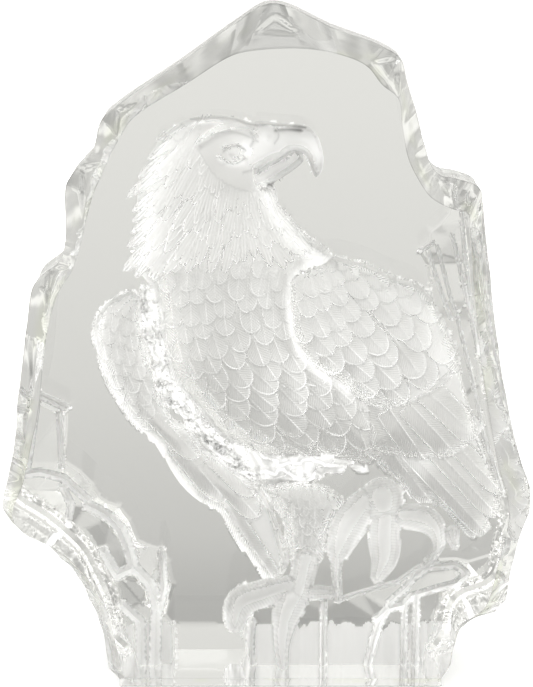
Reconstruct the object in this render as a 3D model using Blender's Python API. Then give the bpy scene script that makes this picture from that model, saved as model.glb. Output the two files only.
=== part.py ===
"""A block of clear lead crystal with an eagle on rocks pressed into its back.

The block stands on its flat underside. Its polished front leans back, a hewn rim runs round it,
and the eagle is hollowed into the back, so that it is seen through the front as if it stood out.
Metres, Z up, the front faces -Y, the origin is the middle of the underside.
"""

import math

import bmesh
import bpy
import numpy as np
from mathutils import Vector
from mathutils.geometry import delaunay_2d_cdt

for item in list(bpy.data.objects):
    bpy.data.objects.remove(item, do_unlink=True)

MM = 0.001

# The block
BLOCK_HEIGHT = 170 * MM
BASE_DEPTH = 44 * MM
FRONT_LEAN = math.radians(5)
BACK_LEAN = math.radians(3)
RIM_SETBACK = 7 * MM
SCALLOP_SETBACK = 2.5 * MM
FOOT_CHAMFER = 3 * MM
BACK_CHAMFER = 1.2 * MM
RIM_WALL = 2.2 * MM
WALL_DRAFT = 0.8 * MM

# The carving, as depths from the back of the block
FAR_WING_EDGE = 4 * MM
FAR_WING_DOME = 4 * MM
BODY_EDGE = 7 * MM
BODY_DOME = 8 * MM
BELLY_EDGE = 7 * MM
BELLY_DOME = 4 * MM
COVERTS_EDGE = 12.5 * MM
COVERTS_DOME = 5 * MM
SECONDARIES_EDGE = 11 * MM
SECONDARIES_DOME = 4 * MM
PRIMARIES_EDGE = 9 * MM
PRIMARIES_DOME = 3.5 * MM
HEAD_EDGE = 6 * MM
HEAD_DOME = 6.5 * MM
CUT_DEPTH = 2.5 * MM
BETWEEN_FEET_DEPTH = 11 * MM
BEAK_EDGE = 6 * MM
BEAK_DOME = 3.5 * MM
THIGH_EDGE = 13 * MM
THIGH_DOME = 5 * MM
TOE_DEPTH = 24 * MM
TOE_HALF_DEPTH = 5 * MM
ROCK_DEPTH = 18 * MM
SHARD_DEPTH = 11 * MM
FEATHER_LIFT = 0.8 * MM
HACKLE_LIFT = 1.3 * MM
FEATHER_ROLL = 0.45 * MM
SHAFT_HEIGHT = 0.2 * MM
POST_HEIGHT = 2.2 * MM
FOOT_SLOPE = 0.36

# Lines of sight through the polished front, from a little above its middle: how far they fall,
# spread out and rise on their way to the back, at the foot and at the top. The carving is cut in
# along them.
ACROSS = 1.012
SIGHT_DROP = 0.57 * MM
SIGHT_FOOT_DROP = 9.26 * MM
SIGHT_LEVEL = 0.982
SIGHT_SPREAD = (1.059, 0.999)
SIGHT_RISE = (0.254, 0.074)
SIGHT_NARROW = 0.185
FOOT_SETTLE = 6 * MM

# How finely the back is cut, and how many facets the solid keeps
CARVING_CELL = 0.62 * MM
BOTTOM_CELL = 0.9 * MM
SIDE_STEPS = 3
FACETS = 9000

# The outline and the carving are drawn as seen from the front on a sheet of squares: x runs right
# from the sheet's left edge, y runs down to the block's foot, and the block's height gives their
# size.

# The widest line of the block, from the left foot up over the top to the right foot
WIDEST_LINE = [
    (119, 685.5), (108, 673), (105, 656), (99, 627), (88, 601), (77, 578), (60, 559), (37, 539),
    (11, 521), (2, 506), (9, 470), (15, 437), (18, 400), (27, 330), (36, 280), (61, 257), (67, 240),
    (69, 180), (84, 159), (94, 148), (105, 115), (122, 100), (181, 60), (238, 19), (266, 2), (285, 3),
    (330, 24), (382, 44), (399, 56), (405, 78), (414, 107), (423, 140), (431, 163), (440, 171),
    (459, 175), (478, 184), (481, 199), (489, 270), (498, 343), (506, 391), (521, 456), (531, 486),
    (531, 510), (516, 559), (508, 601), (497, 614), (468, 627), (459, 640), (453, 669), (443, 685.5),
]
SHEET_FOOT = WIDEST_LINE[0][1]

# The edge of the polished face inside the rim, point for point with the widest line
FACE_LINE = [
    (126, 674), (122, 666), (119, 652), (114, 628), (107, 601), (93, 576), (76, 556), (58, 541),
    (25, 524), (15, 508), (27, 470), (34, 437), (42, 400), (50, 330), (61, 287), (77, 259), (84, 238),
    (97, 188), (107, 165), (114, 149), (124, 130), (137, 111), (191, 76), (231, 51), (248, 46), (300, 43),
    (338, 49), (364, 60), (379, 78), (395, 92), (399, 120), (405, 150), (415, 171), (427, 188),
    (446, 199), (463, 204), (466, 222), (470, 275), (477, 343), (485, 395), (496, 455), (506, 492),
    (507, 512), (498, 553), (486, 598), (476, 608), (459, 620), (453, 645), (448, 664), (441, 674),
]

# The eagle's forms
FAR_WING = [
    (134, 291), (119, 295), (107, 303), (98, 316), (94, 328), (95, 340), (99, 355), (108, 383),
    (119, 400), (128, 416), (143, 431), (161, 448), (168, 464), (181, 484), (201, 502), (220, 510),
    (229, 524), (240, 543), (253, 559), (272, 582), (286, 572), (280, 540), (272, 512), (262, 492),
    (240, 474), (220, 458), (203, 447), (190, 427), (175, 420), (163, 400), (156, 373), (146, 342),
    (142, 315), (143, 299),
]
BODY = [
    (150, 262), (158, 301), (165, 342), (174, 377), (193, 402), (207, 419), (223, 437), (240, 446),
    (256, 456), (275, 463), (297, 464), (319, 464), (345, 466), (372, 472), (385, 460), (390, 430),
    (370, 340), (335, 258), (309, 240), (280, 220), (220, 215), (170, 230),
]
BELLY = [
    (236, 444), (250, 462), (258, 476), (268, 492), (290, 500), (312, 502), (335, 508),
    (350, 512), (372, 506), (386, 484), (380, 460), (340, 430), (280, 420),
]
CUT = [
    (140, 286), (146, 342), (163, 400), (190, 427), (222, 460), (262, 486), (330, 500), (352, 512),
    (340, 480), (255, 450), (207, 412), (176, 370), (166, 330), (158, 280),
]
BETWEEN_FEET = [
    (270, 500), (286, 560), (262, 594), (244, 634), (256, 662), (345, 640), (470, 590), (500, 545),
    (504, 500), (480, 470), (380, 450), (330, 470),
]
COVERTS = [
    (335, 257), (322, 262), (310, 266), (295, 273), (289, 281), (288, 301), (289, 317), (293, 338),
    (298, 351), (310, 368), (322, 375), (338, 383), (348, 390), (360, 400), (380, 408), (400, 409),
    (420, 405), (440, 391), (458, 372), (459, 358), (452, 336), (442, 313), (430, 295), (423, 288),
    (412, 282), (400, 279), (376, 268), (358, 261),
]
SECONDARIES = [
    (345, 385), (358, 400), (366, 414), (368, 430), (371, 446), (380, 452), (409, 458), (431, 460),
    (456, 455), (472, 444), (479, 436), (472, 411), (466, 386), (459, 360), (440, 370), (400, 380),
]
PRIMARIES = [
    (374, 440), (378, 466), (398, 480), (412, 500), (440, 506), (456, 524), (472, 538), (486, 534),
    (497, 516), (502, 493), (489, 458), (481, 436), (440, 420),
]
HEAD = [
    (252, 122), (236, 117), (215, 115), (191, 118), (177, 124), (160, 138), (151, 158), (143, 176),
    (138, 193), (138, 211), (138, 224), (136, 236), (134, 250), (133, 262), (140, 272), (150, 284),
    (172, 300), (215, 306), (260, 300), (300, 285), (334, 258), (319, 246), (302, 233), (292, 221),
    (284, 212), (276, 202), (271, 190), (263, 184), (262, 160), (264, 140), (263, 124),
]
FACE = [
    (200, 122), (262, 118), (266, 160), (268, 186), (250, 192), (226, 184), (208, 168), (198, 145),
]
UPPER_BEAK = [
    (254, 122), (277, 122), (290, 123), (307, 126), (317, 134), (322, 147), (324, 161), (321, 173),
    (316, 177), (312, 170), (309, 160), (302, 152), (290, 151), (283, 157), (273, 160), (257, 169),
    (244, 171), (248, 150),
]
LOWER_BEAK = [
    (244, 173), (257, 169), (273, 160), (284, 155), (290, 150), (297, 149), (303, 153),
    (304, 160), (302, 163), (292, 171), (283, 177), (271, 184), (262, 188), (252, 186),
]
THIGH = [
    (262, 486), (274, 508), (281, 519), (284, 533), (285, 544), (289, 551), (289, 565), (295, 574),
    (303, 571), (312, 567), (324, 562), (328, 552), (329, 537), (336, 526), (349, 512), (345, 497),
    (325, 484), (290, 480),
]

# Lines that the rows of feathers run between, from the root of each group to its tips
FAR_WING_LEFT = [
    (122, 300), (98, 316), (95, 340), (108, 383), (128, 416), (161, 448), (181, 484), (220, 510),
    (238, 540),
]
FAR_WING_RIGHT = [
    (146, 300), (146, 342), (163, 400), (190, 427), (220, 458), (250, 485), (268, 512), (278, 540),
]
BODY_LEFT = [(155, 262), (160, 310), (170, 365), (195, 405), (225, 440), (262, 462), (300, 470)]
BODY_RIGHT = [(316, 246), (296, 280), (294, 330), (312, 370), (345, 390), (368, 420), (385, 470)]
COVERTS_LEFT = [(306, 266), (290, 285), (290, 320), (300, 352), (325, 376), (352, 394), (384, 412)]
COVERTS_RIGHT = [(345, 258), (376, 266), (405, 279), (430, 294), (446, 320), (455, 345), (460, 376)]
HACKLES_LEFT = [
    (226, 120), (191, 119), (165, 136), (150, 158), (138, 180), (133, 205), (131, 235), (126, 272),
]
HACKLES_RIGHT = [(262, 166), (268, 186), (274, 202), (284, 219), (300, 238), (318, 262)]
THIGH_LEFT = [(268, 486), (282, 512), (287, 540), (291, 572)]
THIGH_RIGHT = [(346, 492), (340, 515), (330, 535), (324, 562)]

# Long feathers set one by one: tip (x, y), heading in degrees below right, length, width
FAR_WING_LONG = [
    (199, 457, 47, 60, 26), (226, 500, 50, 74, 27), (256, 495, 44, 60, 24), (259, 517, 48, 74, 24),
    (252, 552, 57, 84, 22), (266, 566, 56, 90, 20), (276, 582, 58, 96, 18),
]
SECONDARIES_LONG = [
    (478, 437, 43, 72, 28), (376, 457, 66, 60, 22), (463, 461, 48, 78, 31), (431, 467, 55, 72, 30),
    (397, 465, 60, 70, 31),
]
PRIMARIES_LONG = [
    (504, 494, 47, 90, 20), (499, 516, 47, 110, 22), (490, 536, 47, 124, 22), (474, 541, 48, 120, 23),
    (457, 527, 49, 110, 23), (438, 509, 51, 90, 24), (412, 498, 54, 70, 24),
]

# Pointed locks that stand out of the head's outline: tip (x, y), heading, length, width
NAPE_LOCKS = [
    (157, 141, 140, 30, 9), (149, 159, 137, 32, 9), (139, 178, 135, 34, 10), (129, 196, 137, 38, 11),
    (133, 212, 135, 34, 10), (133, 222, 136, 32, 8), (132, 233, 138, 34, 9), (128, 247, 138, 40, 11),
    (124, 272, 130, 46, 12), (136, 277, 122, 42, 11), (153, 280, 119, 46, 11), (166, 273, 117, 44, 10),
    (187, 272, 114, 48, 12), (211, 262, 108, 46, 11),
]

# Toes, claws and shins, as (x, y, half width) along each
TOES = [
    [(306, 560, 14), (303, 575, 12), (299, 592, 13)],
    [(292, 586, 11), (262, 595, 14), (241, 604, 14), (235, 622, 9)],
    [(293, 600, 16), (286, 617, 14), (282, 636, 9), (284, 648, 5)],
    [(312, 592, 7), (331, 593, 6)],
    [(383, 499, 22), (384, 505, 21)],
    [(366, 502, 14), (349, 524, 18), (340, 546, 13), (337, 562, 6), (339, 600, 4)],
    [(387, 508, 14), (385, 535, 16), (385, 558, 14), (378, 577, 7)],
    [(404, 516, 12), (425, 519, 13), (437, 530, 10), (439, 548, 5), (428, 564, 3)],
    [(452, 533, 8), (455, 545, 5)],
]

# Rocks and shards as corners (x, y, share of that stone's depth): the edge in order, then within
RIGHT_ROCK_EDGE = [
    (259, 700, 0.9), (256, 662, 0.9), (246, 634, 0.88), (256, 610, 0.92), (300, 602, 0.95),
    (344, 598, 0.94), (362, 592, 0.93), (398, 582, 0.93), (418, 568, 0.95), (437, 561, 0.95),
    (456, 560, 0.94), (469, 563, 0.86), (508, 551, 0.86), (500, 600, 0.86), (477, 611, 0.88),
    (462, 620, 0.92), (449, 676, 0.9), (447, 700, 0.9), (430, 700, 0.89), (410, 700, 0.93),
    (385, 700, 0.89), (352, 700, 0.93), (324, 700, 0.94), (285, 700, 0.9),
]
RIGHT_ROCK_WITHIN = [
    (272, 645, 0.92), (390, 602, 0.97), (406, 588, 0.98), (377, 619, 0.97), (388, 609, 1.0),
    (404, 605, 0.99), (414, 596, 1.0), (438, 588, 1.0), (457, 583, 1.0), (466, 573, 0.99),
    (430, 573, 0.93), (452, 570, 0.92), (324, 612, 0.95), (300, 655, 0.9), (345, 650, 0.89),
    (385, 655, 0.9), (432, 640, 0.9), (472, 600, 0.86),
]
LEFT_ROCK_EDGE = [
    (128, 700, 0.82), (124, 664, 0.82), (112, 625, 0.82), (106, 599, 0.82), (98, 586, 0.82),
    (78, 566, 0.84), (65, 542, 0.84), (30, 522, 0.76), (16, 504, 0.76), (22, 476, 0.74),
    (26, 462, 0.66), (36, 402, 0.56), (40, 393, 0.5), (67, 406, 0.45), (66, 414, 0.45),
    (64, 462, 0.66), (79, 472, 0.66), (92, 485, 0.68), (98, 497, 0.74), (106, 503, 0.74),
    (118, 507, 0.74), (129, 521, 0.76), (137, 541, 0.78), (149, 547, 0.78), (162, 550, 0.76),
    (168, 562, 0.76), (172, 584, 0.77), (168, 600, 0.77), (164, 615, 0.78), (172, 625, 0.8),
    (174, 700, 0.8), (162, 700, 0.84), (146, 700, 0.88),
]
LEFT_ROCK_WITHIN = [
    (59, 415, 0.6), (39, 404, 0.6), (60, 462, 0.72), (36, 490, 0.82), (63, 487, 0.92),
    (71, 504, 0.92), (66, 537, 0.9), (88, 505, 0.86), (110, 517, 0.9), (121, 529, 0.93),
    (129, 548, 0.96), (104, 552, 0.88), (117, 575, 0.92), (134, 567, 0.95), (150, 584, 0.96),
    (157, 604, 0.96), (141, 603, 0.86), (154, 566, 0.84), (142, 640, 0.94), (124, 606, 0.85),
    (118, 624, 0.86), (160, 650, 0.86),
]
SHARDS_EDGE = [
    (430, 264, 0.84), (422, 250, 0.9), (431, 243, 0.95), (433, 232, 0.94), (443, 224, 1.0),
    (451, 214, 0.9), (454, 203, 0.84), (464, 208, 0.84), (470, 262, 0.86), (475, 321, 0.86),
    (480, 385, 0.86), (487, 425, 0.86), (494, 455, 0.86), (503, 490, 0.86), (500, 508, 0.86),
    (480, 470, 0.86), (470, 438, 0.86), (460, 400, 0.86), (446, 345, 0.86), (436, 316, 0.86),
]
SHARDS_WITHIN = [
    (438, 253, 0.96), (452, 236, 0.98), (450, 300, 0.92), (464, 300, 0.93), (460, 222, 0.94),
    (466, 345, 0.9), (474, 385, 0.9), (482, 425, 0.89), (490, 460, 0.89),
]
POSTS = [
    [(324, 604), (323, 692)], [(388, 609), (374, 634), (350, 692)], [(405, 606), (403, 692)],
    [(417, 596), (415, 692)], [(458, 582), (460, 600), (459, 618), (449, 690)],
    [(344, 598), (362, 592), (398, 582), (418, 568), (437, 561)],
    [(388, 610), (390, 602), (406, 588), (415, 577), (428, 567), (456, 565), (466, 572)],
    [(377, 619), (388, 609), (404, 605), (412, 596), (438, 588), (457, 583), (466, 575)],
    [(252, 622), (250, 640), (256, 660), (258, 692)], [(59, 414), (62, 466)],
    [(39, 395), (66, 407)], [(36, 402), (31, 440), (26, 470)], [(63, 487), (71, 504), (66, 540)],
    [
        (88, 505), (110, 517), (121, 529), (129, 548), (134, 567), (150, 584), (157, 604),
        (155, 650), (150, 692),
    ],
    [(104, 552), (117, 575), (134, 567)], [(162, 552), (164, 590), (158, 612)],
    [(124, 606), (141, 622), (140, 690)],
]
# Ridges of the face: line, height, half width
FACE_RIDGES = (
    ([(200, 143), (214, 134), (230, 129), (246, 129), (260, 133)], 1.0 * MM, 4.0),
    ([(219, 156), (226, 162), (236, 162), (244, 157)], 0.6 * MM, 1.6),
    ([(224, 147), (232, 143), (241, 145), (247, 150)], 0.5 * MM, 1.4),
    ([(276, 127), (278, 134), (275, 142)], 0.4 * MM, 2.0),
    ([(223, 181), (243, 187), (262, 184)], 0.5 * MM, 9.0),
)
EYE = (235, 152)
EYE_HEIGHT = 0.9 * MM
SOCKET_DEPTH = 1.0 * MM
NOSTRIL = (268, 138)
NOSTRIL_DEPTH = 0.6 * MM

EYE_HALF_WIDTH = 5.5
EYE_STRETCH = 1.15
SOCKET_HALF_WIDTH = 11
NOSTRIL_HALF_WIDTH = 2.5

# How each form is shaped, in squares: how far in it is rounded over, and how wide its wall is
SHAPES = {
    "flat": (10, 4), "far_wing": (30, 4), "belly": (40, 3), "primaries": (34, 3),
    "secondaries": (40, 3), "coverts": (34, 4), "thigh": (26, 4), "body": (62, 6), "head": (46, 4),
    "upper_beak": (15, 3), "lower_beak": (12, 3),
}

# Walls, ridges and borders on the sheet, in squares
POST_HALF_WIDTH = 4.5
POST_FLANK = 2.8
STONE_WALL = 3.0
HEAD_PAST = 8.0
CROWN_LINE = 150
NAPE_LINE = 165
MANE_WIDTH = 45
FOOT_LINE = SHEET_FOOT * 0.91
SHAFT_HALF_WIDTH = 1.1
TOE_FULL = 16

# Shares: of a toe's half width, of a feather's lift, and of its width
TOE_CROWN = 0.86
TOE_REACH = 1.08
TOE_THIN = 0.45
FEATHER_SWELL = 0.2
SHAFT_START = 0.15


def spline(points, steps):
    """Points along a smooth open line through the given ones, ends kept, at `steps` to a stretch."""
    p = np.array(points, float)
    p = np.vstack([2 * p[0] - p[1], p, 2 * p[-1] - p[-2]])
    line = []
    for a, b, c, d in zip(p, p[1:], p[2:], p[3:]):
        gaps = [max(np.linalg.norm(q - r), 1e-6) ** 0.5 for q, r in ((b, a), (c, b), (d, c))]
        knots = np.cumsum([0] + gaps)
        for t in np.linspace(knots[1], knots[2], steps, endpoint=False):
            ab = a + (b - a) * (t - knots[0]) / (knots[1] - knots[0])
            bc = b + (c - b) * (t - knots[1]) / (knots[2] - knots[1])
            cd = c + (d - c) * (t - knots[2]) / (knots[3] - knots[2])
            abc = ab + (bc - ab) * (t - knots[0]) / (knots[2] - knots[0])
            bcd = bc + (cd - bc) * (t - knots[1]) / (knots[3] - knots[1])
            line.append(abc + (bcd - abc) * (t - knots[1]) / (knots[2] - knots[1]))
    line.append(p[-2])
    return np.array(line)


def ring(points, steps=4):
    """The same, closed."""
    p = [tuple(q) for q in points]
    return spline(p[-2:] + p + p[:2], steps)[2 * steps:-2 * steps - 1]


def nearest_on(x, y, ax, ay, bx, by):
    """Share along a stretch that lies nearest each place, and the distance to it."""
    ex, ey = bx - ax, by - ay
    along = np.clip(((x - ax) * ex + (y - ay) * ey) / (ex * ex + ey * ey + 1e-12), 0, 1)
    return along, np.hypot(x - ax - along * ex, y - ay - along * ey)


def away(x, y, polygon):
    """Distance of each place inside a closed outline from its edge, negative outside."""
    nearest = np.full(x.shape, 1e9)
    inside = np.zeros(x.shape, bool)
    for (ax, ay), (bx, by) in zip(polygon, np.roll(polygon, -1, axis=0)):
        nearest = np.minimum(nearest, nearest_on(x, y, ax, ay, bx, by)[1])
        if ay != by:
            crossed = (ay > y) != (by > y)
            inside ^= crossed & (x < ax + (y - ay) * (bx - ax) / (by - ay))
    return np.where(inside, nearest, -nearest)


def round_over(share):
    """A quarter circle: 0 at the edge, 1 from one width in."""
    return np.sqrt(np.clip(1 - (1 - np.clip(share, 0, 1)) ** 2, 0, 1))


class Feather:
    """One feather lying with its tip at a place, pointing along `heading` in degrees below right."""

    def __init__(self, x, y, heading, length, width, point=0.7, roll=0.0, curl=0.0, shaft=SHAFT_HEIGHT):
        self.x, self.y, self.length, self.width = x, y, length, width
        self.point, self.roll, self.curl, self.shaft = point, roll, curl, shaft
        self.cos, self.sin = math.cos(math.radians(heading)), math.sin(math.radians(heading))

    def raise_skin(self, x, y, lift, lying, skin):
        """Lifts `skin` where the feather covers it, from the height of what it lies on."""
        reach = self.length + self.width
        near = np.flatnonzero((abs(x - self.x) < reach) & (abs(y - self.y) < reach))
        back = -(x[near] - self.x) * self.cos - (y[near] - self.y) * self.sin
        bend = self.curl * (back / self.length) ** 2
        side = (y[near] - self.y) * self.cos - (x[near] - self.x) * self.sin - bend
        share = side / (self.width / 2 * round_over(back / (self.width * self.point)) + 1e-6)
        here = lift[near] if np.ndim(lift) else lift
        raised = here * (1 - back / self.length) + FEATHER_SWELL * here * (1 - share ** 2)
        raised = raised + self.roll * (1 + share)
        shaft = self.shaft * np.exp(-(side / SHAFT_HALF_WIDTH) ** 2)
        raised = raised + shaft * (back > self.width * SHAFT_START)
        covered = (back > 0) & (back < self.length) & (abs(share) < 1)
        near = near[covered]
        skin[near] = np.maximum(skin[near], lying[near] + raised[covered])


def evenly(points, shares):
    """Places at shares of the length of a smooth line."""
    line = spline(points, 8)
    run = np.concatenate([[0], np.cumsum(np.hypot(*np.diff(line, axis=0).T))])
    return np.array([np.interp(np.array(shares) * run[-1], run, line[:, k]) for k in (0, 1)]).T


def rows_between(left, right, shares, width, overlap=2.3, point=0.7):
    """Rows of overlapping feathers between two lines, their tips at `shares` of the way along them.

    `width` is the feathers' width in the first and the last row, and each row is set off by half a
    feather from the one before it.
    """
    shares = np.array(shares)
    a, b = evenly(left, shares), evenly(right, shares)
    a2, b2 = evenly(left, shares - 0.06), evenly(right, shares - 0.06)
    laid = []
    for row, share in enumerate(shares):
        run = math.dist(a[row], b[row])
        size = np.interp(share, (shares[0], shares[-1]), width)
        count = max(2, round(run / size))
        before = row - 1 if row else 1
        gap = math.dist((a[row] + b[row]) / 2, (a[before] + b[before]) / 2)
        for column in range(count + 1):
            wander = math.sin(12.9 * row + 7.7 * column)
            across = (column + 0.5 * (row % 2) + 0.12 * wander) / count
            tip = a[row] + (b[row] - a[row]) * across
            root = a2[row] + (b2[row] - a2[row]) * across
            heading = math.degrees(math.atan2(tip[1] - root[1], tip[0] - root[0])) + 3 * wander
            stray = gap * 0.12 * math.sin(5.1 * column + 3.3 * row)
            tip = tip + (tip - root) / math.dist(tip, root) * stray
            laid.append(Feather(*tip, heading, gap * overlap, 1.1 * size, point))
    return laid


def singly(feathers, point):
    """Long feathers set one by one, each rolled over the next."""
    return [Feather(*feather, point, FEATHER_ROLL) for feather in feathers]


def lock_heading(x, y):
    """Which way the hackles flow at a place on the head: down and back, and down the throat in front."""
    if x > 245:
        return 90 - 38 * min((x - 245) / 45, 1)
    return 90 + 42 * min((245 - x) / 100, 1) + 12 * min(max((180 - y) / 60, 0), 1)


def locks():
    """Long pointed hackles, tips spread unevenly down the head and over its outline."""
    laid = []
    shares = np.array([0.36, 0.46, 0.56, 0.66, 0.75, 0.84, 0.93, 1.02])
    a, b = evenly(HACKLES_LEFT, shares), evenly(HACKLES_RIGHT, np.clip(shares * 1.02 - 0.08, 0.02, 1))
    for row, share in enumerate(shares):
        width = 9.0 + 4.0 * share
        count = round(math.dist(a[row], b[row]) / (width * 0.92))
        for column in range(1, count + 1):
            wander = math.sin(12.9 * row + 7.7 * column)
            stray = math.sin(5.1 * column + 3.3 * row)
            across = (column + 0.5 * (row % 2) + 0.2 * wander) / (count + 0.5)
            x, y = a[row] + (b[row] - a[row]) * across
            heading = lock_heading(x, y) + 5 * wander
            x += 6 * stray * math.cos(math.radians(heading))
            y += 9 * stray * math.sin(math.radians(heading))
            curl = (-7 if x < 245 else 7) * (0.6 + 0.4 * stray)
            if y > CROWN_LINE or x < NAPE_LINE:
                laid.append(Feather(x, y, heading, 44 + 16 * share, width, 2.6, 0.0, curl, 0.0))
    for x, y, heading, length, width in NAPE_LOCKS:
        laid.append(Feather(x, y, heading, length, width, 2.2, 0.0, -5, 0.0))
    return laid


def form(x, y, outline, shape, edge, dome=0.0, feathers=(), lift=FEATHER_LIFT, reach=1.0, under=None):
    """A rounded form with a steep wall inside its outline, covered with feathers where it has them.

    The feathers may pass its outline by `reach`, and the form swells over what lies `under` it.
    """
    rounding, wall = SHAPES[shape]
    inward = away(x, y, ring(outline))
    top = edge + dome * round_over(inward / rounding)
    if under is not None:
        top = np.where(inward > 0, np.maximum(top, under), top)
    skin = top.copy()
    for feather in feathers:
        feather.raise_skin(x, y, lift, top, skin)
    past = np.where(skin > top, reach, 0)
    return skin * np.clip((inward + past) / wall, 0, 1)


def limb(x, y, path, depth, half_depth):
    """A round toe or shin that follows a path and tapers with it."""
    line = spline(path, 5)
    skin = np.zeros(x.shape)
    for (ax, ay, ar), (bx, by, br) in zip(line, line[1:]):
        along, gap = nearest_on(x, y, ax, ay, bx, by)
        radius = ar + (br - ar) * along
        share = gap / radius / TOE_CROWN
        size = TOE_THIN + (1 - TOE_THIN) * radius / TOE_FULL
        top = depth - half_depth * (1 - size * np.sqrt(np.clip(1 - share ** 2, 0, 1)))
        wall = np.clip((TOE_REACH - gap / radius) / (TOE_REACH - TOE_CROWN), 0, 1)
        skin = np.maximum(skin, np.where(share < 1, top, (depth - half_depth) * wall))
    return skin


def stone(x, y, edge, within, depth):
    """Flat facets between corners, each at its own share of the depth, with a steep wall round them."""
    corners = edge + within
    flat = [Vector(c[:2]) for c in corners]
    _, _, facets, _, _, _ = delaunay_2d_cdt(flat, [], [list(range(len(edge)))], 1, 1e-6)
    skin = np.zeros(x.shape)
    for facet in facets:
        (ax, ay, ad), (bx, by, bd), (cx, cy, cd) = (corners[k] for k in facet)
        whole = (bx - ax) * (cy - ay) - (cx - ax) * (by - ay)
        wb = ((x - ax) * (cy - ay) - (cx - ax) * (y - ay)) / whole
        wc = ((bx - ax) * (y - ay) - (x - ax) * (by - ay)) / whole
        inside = (wb >= -1e-9) & (wc >= -1e-9) & (wb + wc <= 1 + 1e-9)
        skin = np.where(inside, np.maximum(skin, depth * (ad + wb * (bd - ad) + wc * (cd - ad))), skin)
    for (ax, ay, ad), (bx, by, bd) in zip(edge, edge[1:] + edge[:1]):
        along, gap = nearest_on(x, y, ax, ay, bx, by)
        skin = np.maximum(skin, depth * (ad + (bd - ad) * along) * np.clip(1 - gap / STONE_WALL, 0, 1))
    return skin


def posts(x, y, rock):
    """Narrow ridges that stand out of the rocks."""
    ridge = np.zeros(x.shape)
    for path in POSTS:
        for (ax, ay), (bx, by) in zip(path, path[1:]):
            gap = nearest_on(x, y, ax, ay, bx, by)[1]
            ridge = np.maximum(ridge, POST_HEIGHT * np.clip((POST_HALF_WIDTH - gap) / POST_FLANK, 0, 1))
    return np.where(rock > 0, rock + ridge, 0)


def plumage():
    """Every group of feathers, by the form that carries it."""
    return {
        "far_wing": rows_between(
            FAR_WING_LEFT, FAR_WING_RIGHT, np.linspace(0.08, 0.5, 9), (12, 17), 2.6
        ) + singly(FAR_WING_LONG, 0.8),
        "body": rows_between(BODY_LEFT, BODY_RIGHT, np.linspace(0.05, 0.97, 15), (17, 30)),
        "belly": rows_between(BODY_LEFT, BODY_RIGHT, np.linspace(0.8, 1.04, 4), (22, 26)),
        "coverts": rows_between(
            COVERTS_LEFT, COVERTS_RIGHT, np.linspace(0.1, 1.0, 9) ** 0.95, (15, 31)
        ),
        "secondaries": singly(SECONDARIES_LONG, 0.5),
        "primaries": singly(PRIMARIES_LONG, 1.1),
        "hackles": locks(),
        "thigh": rows_between(THIGH_LEFT, THIGH_RIGHT, np.linspace(0.15, 0.98, 8), (12, 11)),
    }


def features(x, y):
    """The face's ridges, eye and nostril, added to the head and the beak."""
    added = np.zeros(x.shape)
    for path, height, half in FACE_RIDGES:
        gap = np.full(x.shape, 1e9)
        line = spline(path, 4)
        for (ax, ay), (bx, by) in zip(line, line[1:]):
            gap = np.minimum(gap, nearest_on(x, y, ax, ay, bx, by)[1])
        added = np.maximum(added, height * np.exp(-(gap / half) ** 2))
    from_eye = np.hypot((x - EYE[0]) / EYE_STRETCH, y - EYE[1])
    socket = SOCKET_DEPTH * np.exp(-(from_eye / SOCKET_HALF_WIDTH) ** 2)
    ball = EYE_HEIGHT * np.sqrt(np.clip(1 - (from_eye / EYE_HALF_WIDTH) ** 2, 0, 1))
    from_nostril = np.hypot(x - NOSTRIL[0], y - NOSTRIL[1])
    nostril = NOSTRIL_DEPTH * np.exp(-(from_nostril / NOSTRIL_HALF_WIDTH) ** 2)
    return added - socket + ball - nostril


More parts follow.
